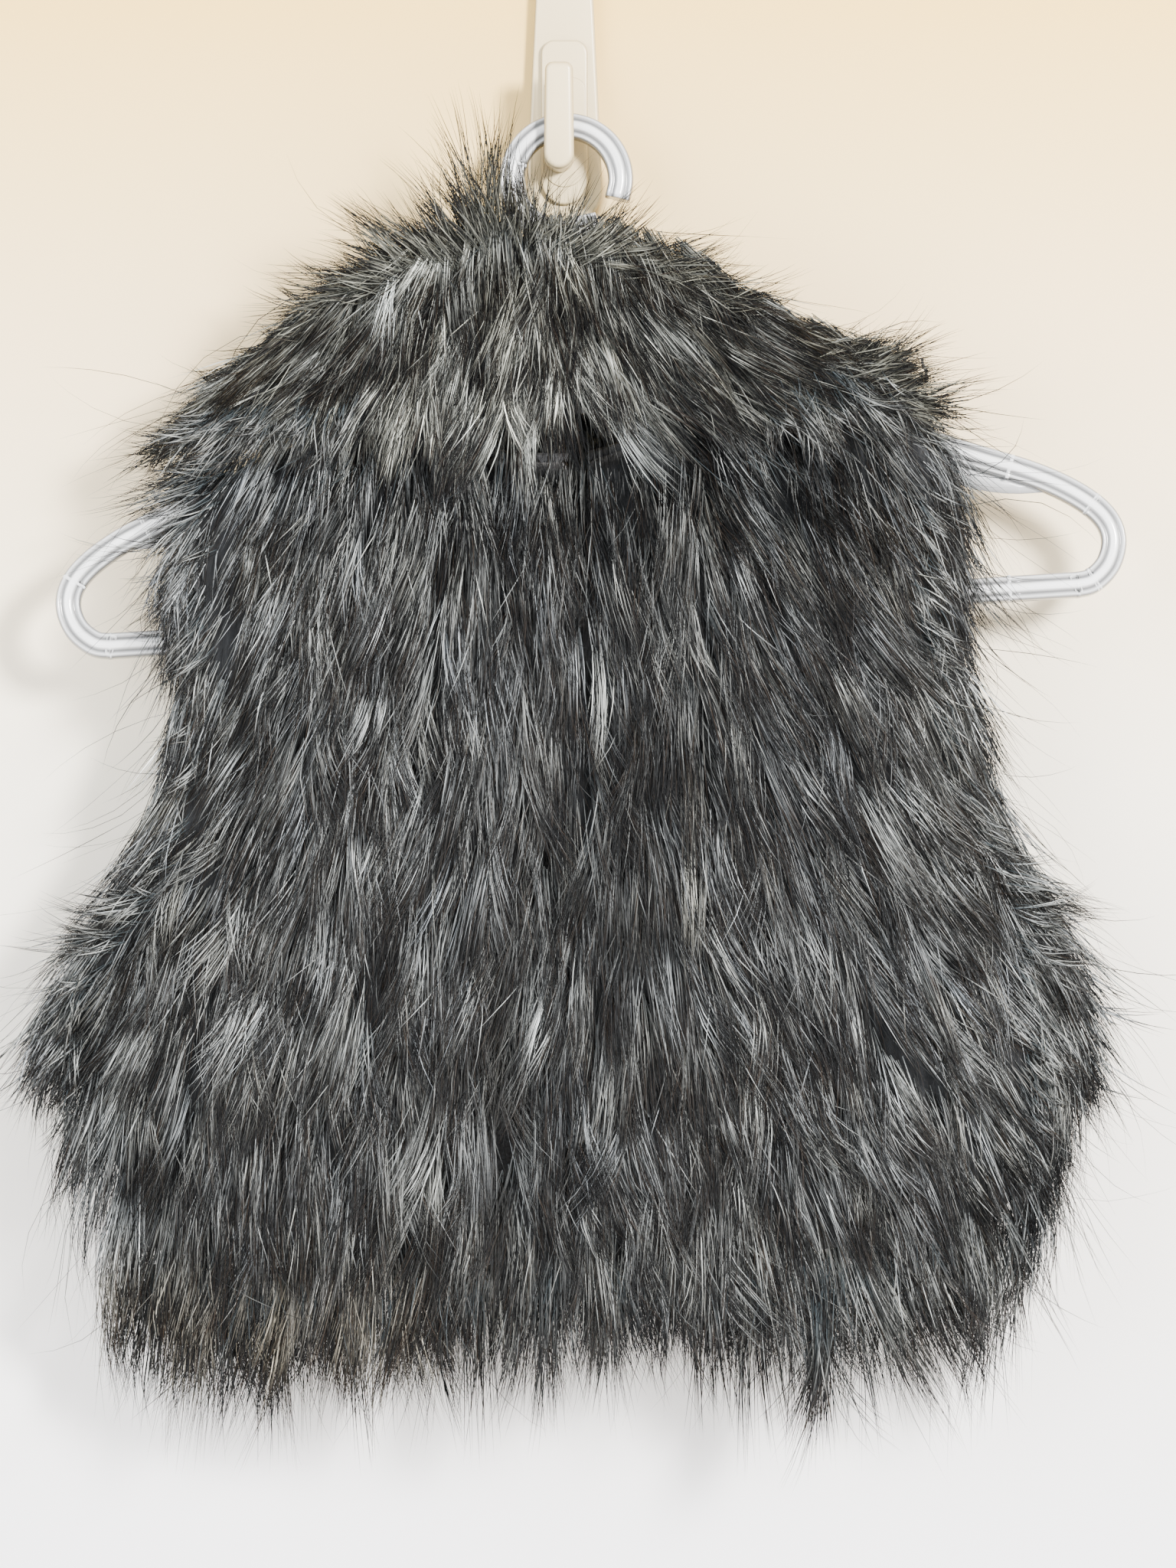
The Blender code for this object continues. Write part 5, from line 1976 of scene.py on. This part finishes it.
@dataclass(frozen=True)
class Studio:
    """The floor, the wall that the hook is stuck to, the soft light and the camera."""

    height_px: int = 2048
    metres_a_pixel: float = 0.000228
    centre_x: float = 0.0071
    centre_z: float = -0.1943
    distance: float = 2.2
    plane_y: float = -0.035
    floor_z: float = -1.30
    wall_y: float = 0.0006
    sensor: float = 36.0
    # The wall's colour from its upper part down, and the heights between which it changes
    wall_top: tuple[float, float, float, float] = (0.885, 0.600, 0.195, 1.0)
    wall_middle: tuple[float, float, float, float] = (0.95, 0.89, 0.76, 1.0)
    wall_low: tuple[float, float, float, float] = (0.88, 0.88, 0.915, 1.0)
    wall_heights: tuple[float, float] = (0.04, -0.43)

    def backdrop_finish(self) -> bpy.types.Material:
        """Pale, warmer towards the top and cooler lower down, and clear from behind so that the back can be
        looked at.
        """
        made = bpy.data.materials.new("wall_paint")
        made.use_nodes = True
        nodes, links = made.node_tree.nodes, made.node_tree.links
        shader = nodes["Principled BSDF"]
        shader.inputs["Roughness"].default_value = 0.9
        shader.inputs["Specular IOR Level"].default_value = 0.1
        place = nodes.new("ShaderNodeTexCoord")
        split = nodes.new("ShaderNodeSeparateXYZ")
        down = nodes.new("ShaderNodeMapRange")
        down.inputs["From Min"].default_value, down.inputs["From Max"].default_value = self.wall_heights
        ramp = nodes.new("ShaderNodeValToRGB")
        ramp.color_ramp.elements[0].color = self.wall_top
        ramp.color_ramp.elements[1].color = self.wall_low
        middle = ramp.color_ramp.elements.new(0.5)
        middle.color = self.wall_middle
        links.new(place.outputs["Object"], split.inputs["Vector"])
        links.new(split.outputs["Z"], down.inputs["Value"])
        links.new(down.outputs["Result"], ramp.inputs["Fac"])
        links.new(ramp.outputs["Color"], shader.inputs["Base Color"])
        side = nodes.new("ShaderNodeNewGeometry")
        clear = nodes.new("ShaderNodeBsdfTransparent")
        mix = nodes.new("ShaderNodeMixShader")
        output = nodes["Material Output"]
        path = nodes.new("ShaderNodeLightPath")
        either = nodes.new("ShaderNodeMath")
        either.operation = "MAXIMUM"
        links.new(side.outputs["Backfacing"], either.inputs[0])
        links.new(path.outputs["Is Shadow Ray"], either.inputs[1])
        links.new(either.outputs["Value"], mix.inputs["Fac"])
        links.new(shader.outputs["BSDF"], mix.inputs[1])
        links.new(clear.outputs["BSDF"], mix.inputs[2])
        links.new(mix.outputs["Shader"], output.inputs["Surface"])
        return made

    def surfaces(self) -> None:
        """Adds the floor and the wall."""
        deselect_all()
        bpy.ops.mesh.primitive_plane_add(size=6.0, location=(0.0, 0.0, self.floor_z))
        floor = bpy.context.object
        floor.name = "studio_floor"
        floor.data.materials.append(Finish("floor_paint", (0.80, 0.79, 0.77), 0.8, 0.2, 3.0, 0.03).make())
        deselect_all()
        bpy.ops.mesh.primitive_plane_add(
            size=2.6, location=(0.0, self.wall_y, 0.0), rotation=(math.radians(90.0), 0.0, 0.0)
        )
        wall = bpy.context.object
        wall.name = "studio_wall"
        settle(wall)
        wall.data.materials.append(self.backdrop_finish())

    def camera(self) -> None:
        """Adds the camera, square to the wall."""
        data = bpy.data.cameras.new("camera")
        tall = self.height_px * self.metres_a_pixel
        data.sensor_width = self.sensor
        data.lens = self.sensor * (self.distance + self.plane_y) / tall
        data.clip_start, data.clip_end = 0.05, 50.0
        made = linked("camera", data)
        made.location = (self.centre_x, -self.distance, self.centre_z)
        made.rotation_euler = (math.radians(90.0), 0.0, 0.0)
        bpy.context.scene.camera = made

    def build(self) -> None:
        """Sets the stage."""
        self.surfaces()
        for lamp in LAMPS:
            lamp.add()
        world = bpy.data.worlds.new("studio")
        world.use_nodes = True
        back = world.node_tree.nodes["Background"]
        back.inputs["Color"].default_value = (0.93, 0.92, 0.90, 1.0)
        back.inputs["Strength"].default_value = 1.05
        bpy.context.scene.world = world
        self.camera()


class Vest:
    """The fur vest: panels, collar, and the pile that covers them."""

    PANELS = (
        Panel("front_right", (0.165, 0.300), 0.036, Facing.FRONT),
        Panel("front_left", (0.180, 0.300), 0.040, Facing.FRONT),
        Panel("back", (0.330, 0.300), 0.072, Facing.BACK),
        Panel("collar", (0.380, 0.080), 0.0190, raised=0.0170),
    )
    FRONTS = ("front_right", "front_left")

    def __init__(self) -> None:
        """Reads the reliefs that the pile is laid on."""
        self.front = Relief(Facing.FRONT, *self.FRONTS)
        self.back = Relief(Facing.BACK, "back")
        self.collar_front = Relief(Facing.FRONT, "collar")
        self.collar_back = Relief(Facing.BACK, "collar")
        self.dye = Dye()
        self.collar_dye = Dye(silver=(0.285, 0.296, 0.270), dark_share=0.42)
        self.crest_dye = Dye(silver=(0.300, 0.306, 0.262), under=(0.045, 0.048, 0.042), dark_share=0.40)

    def pile(self) -> dict[str, tuple[Slot, tuple[str, ...], list[Strands]]]:
        """Grows all of the pile: for each piece its slot, the CAD nodes it stands for and its strands."""
        front, collar, dye = self.front, self.collar_front, self.dye
        return {
            "fur_front_right": (
                Slot.FUR,
                ("locks_hem_right", "locks_armhole_front_right"),
                [FRONT_RIGHT_COAT.grow(front, self.back, dye)],
            ),
            "fur_front_left": (
                Slot.FUR,
                ("locks_hem_left", "locks_armhole_front_left"),
                [FRONT_LEFT_COAT.grow(front, self.back, dye)],
            ),
            "fur_back": (
                Slot.FUR,
                (
                    "locks_hem_back",
                    "locks_armhole_back_right",
                    "locks_armhole_back_left",
                    "locks_side_right",
                    "locks_side_left",
                ),
                [BACK_COAT.grow(self.back, front, dye)],
            ),
            "fur_collar_front": (
                Slot.FUR_COLLAR,
                ("locks_collar_edge",),
                [COLLAR_COAT.grow(collar, self.collar_back, self.collar_dye)],
            ),
            "fur_skirt": (Slot.FUR_DARK, (), [fringe.grow(collar, dye) for fringe in SKIRT]),
            "fur_collar_back": (
                Slot.FUR_COLLAR,
                (),
                [COLLAR_BACK_COAT.grow(self.collar_back, collar, self.collar_dye)],
            ),
            "fur_crest": (
                Slot.FUR_DARK,
                ("locks_crest_right", "locks_crest_left"),
                [
                    OUTER_CREST.grow(collar, self.crest_dye),
                    INNER_CREST.grow(collar, dye),
                    WISPS.grow(collar, self.crest_dye),
                ],
            ),
            "fur_armholes": (Slot.FUR, (), [fringe.grow(front, dye) for fringe in ARMHOLES]),
            "fur_hem": (Slot.FUR_DARK, (), [fringe.grow(front, dye) for fringe in HEM]),
            "fur_strays": (
                Slot.FUR_DARK,
                (),
                [STRAYS.grow(front, FRONT_COMB, dye), STRAYS.grow(collar, COLLAR_COMB, dye)],
            ),
        }

    def build(self) -> list[bpy.types.Object]:
        """Builds and dresses the vest.

        Returns:
            Its pieces.
        """
        # The strands' colour attribute carries their dye with the patches' painted shade and the hem's
        # painted light
        fur = Finish("fur_strands", (0.2, 0.2, 0.2), 0.50, 0.09, 60.0, 0.12, attribute="fur_dye_and_painted_light").make()
        under = Finish(
            "fur_undercoat",
            (0.010, 0.011, 0.0125),
            0.9,
            0.1,
            scale=420.0,
            amount=0.45,
            bump=0.0012,
            stretch=(1.0, 1.0, 0.2),
            sheen=0.15,
        ).make()
        knit = Finish(
            "knit_backing",
            (0.060, 0.062, 0.066),
            0.88,
            0.15,
            scale=900.0,
            amount=0.25,
            bump=0.0003,
            stretch=(1.0, 1.0, 1.6),
            sheen=0.1,
        ).make()
        made: dict[str, bpy.types.Object] = {}
        for name, (slot, replaced, parts) in self.pile().items():
            made[name] = dress(Strands.together(parts).to_object(name), fur, slot, *replaced)
        outlines = {None: self.collar_front, Facing.FRONT: self.front, Facing.BACK: self.back}
        for panel in self.PANELS:
            outline = outlines[panel.facing]
            backing = panel.backing(knit, outline)
            undercoat = panel.undercoat(under, outline)
            made[backing.name] = backing
            made[undercoat.name] = undercoat
        return list(made.values())


def report(pieces: list[bpy.types.Object]) -> None:
    """Logs each piece and its triangles."""
    total = 0
    for piece in pieces:
        piece.data.calc_loop_triangles()
        count = len(piece.data.loop_triangles)
        total += count
        LOG.info("%s: %d triangles", piece.name, count)
    LOG.info("all: %d triangles", total)


def main() -> None:
    """Builds the whole scene in order."""
    logging.basicConfig(level=logging.INFO, format="%(message)s", stream=sys.stdout)
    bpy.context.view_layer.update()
    # Both plastics take their colour from an attribute that carries painted highlight and shade
    plastic = Finish(
        "hanger_gloss",
        HangerShape.PLASTIC,
        0.18, 0.5, 35.0, 0.03, 0.00004,
        attribute="moulded_colour_and_painted_light",
        coat=0.4,
    ).make()
    hook_plastic = Finish(
        "hook_satin",
        WallHookShape.plastic,
        0.34, 0.45, 40.0, 0.02, 0.00003,
        attribute="moulded_colour_and_painted_light",
        coat=0.15,
    ).make()
    hanger = HangerShape().build(plastic)
    hook = WallHookShape().build(hook_plastic)
    vest = Vest().build()
    report([*hanger, *hook, *vest])
    Studio().build()


if __name__ == "__main__":
    main()
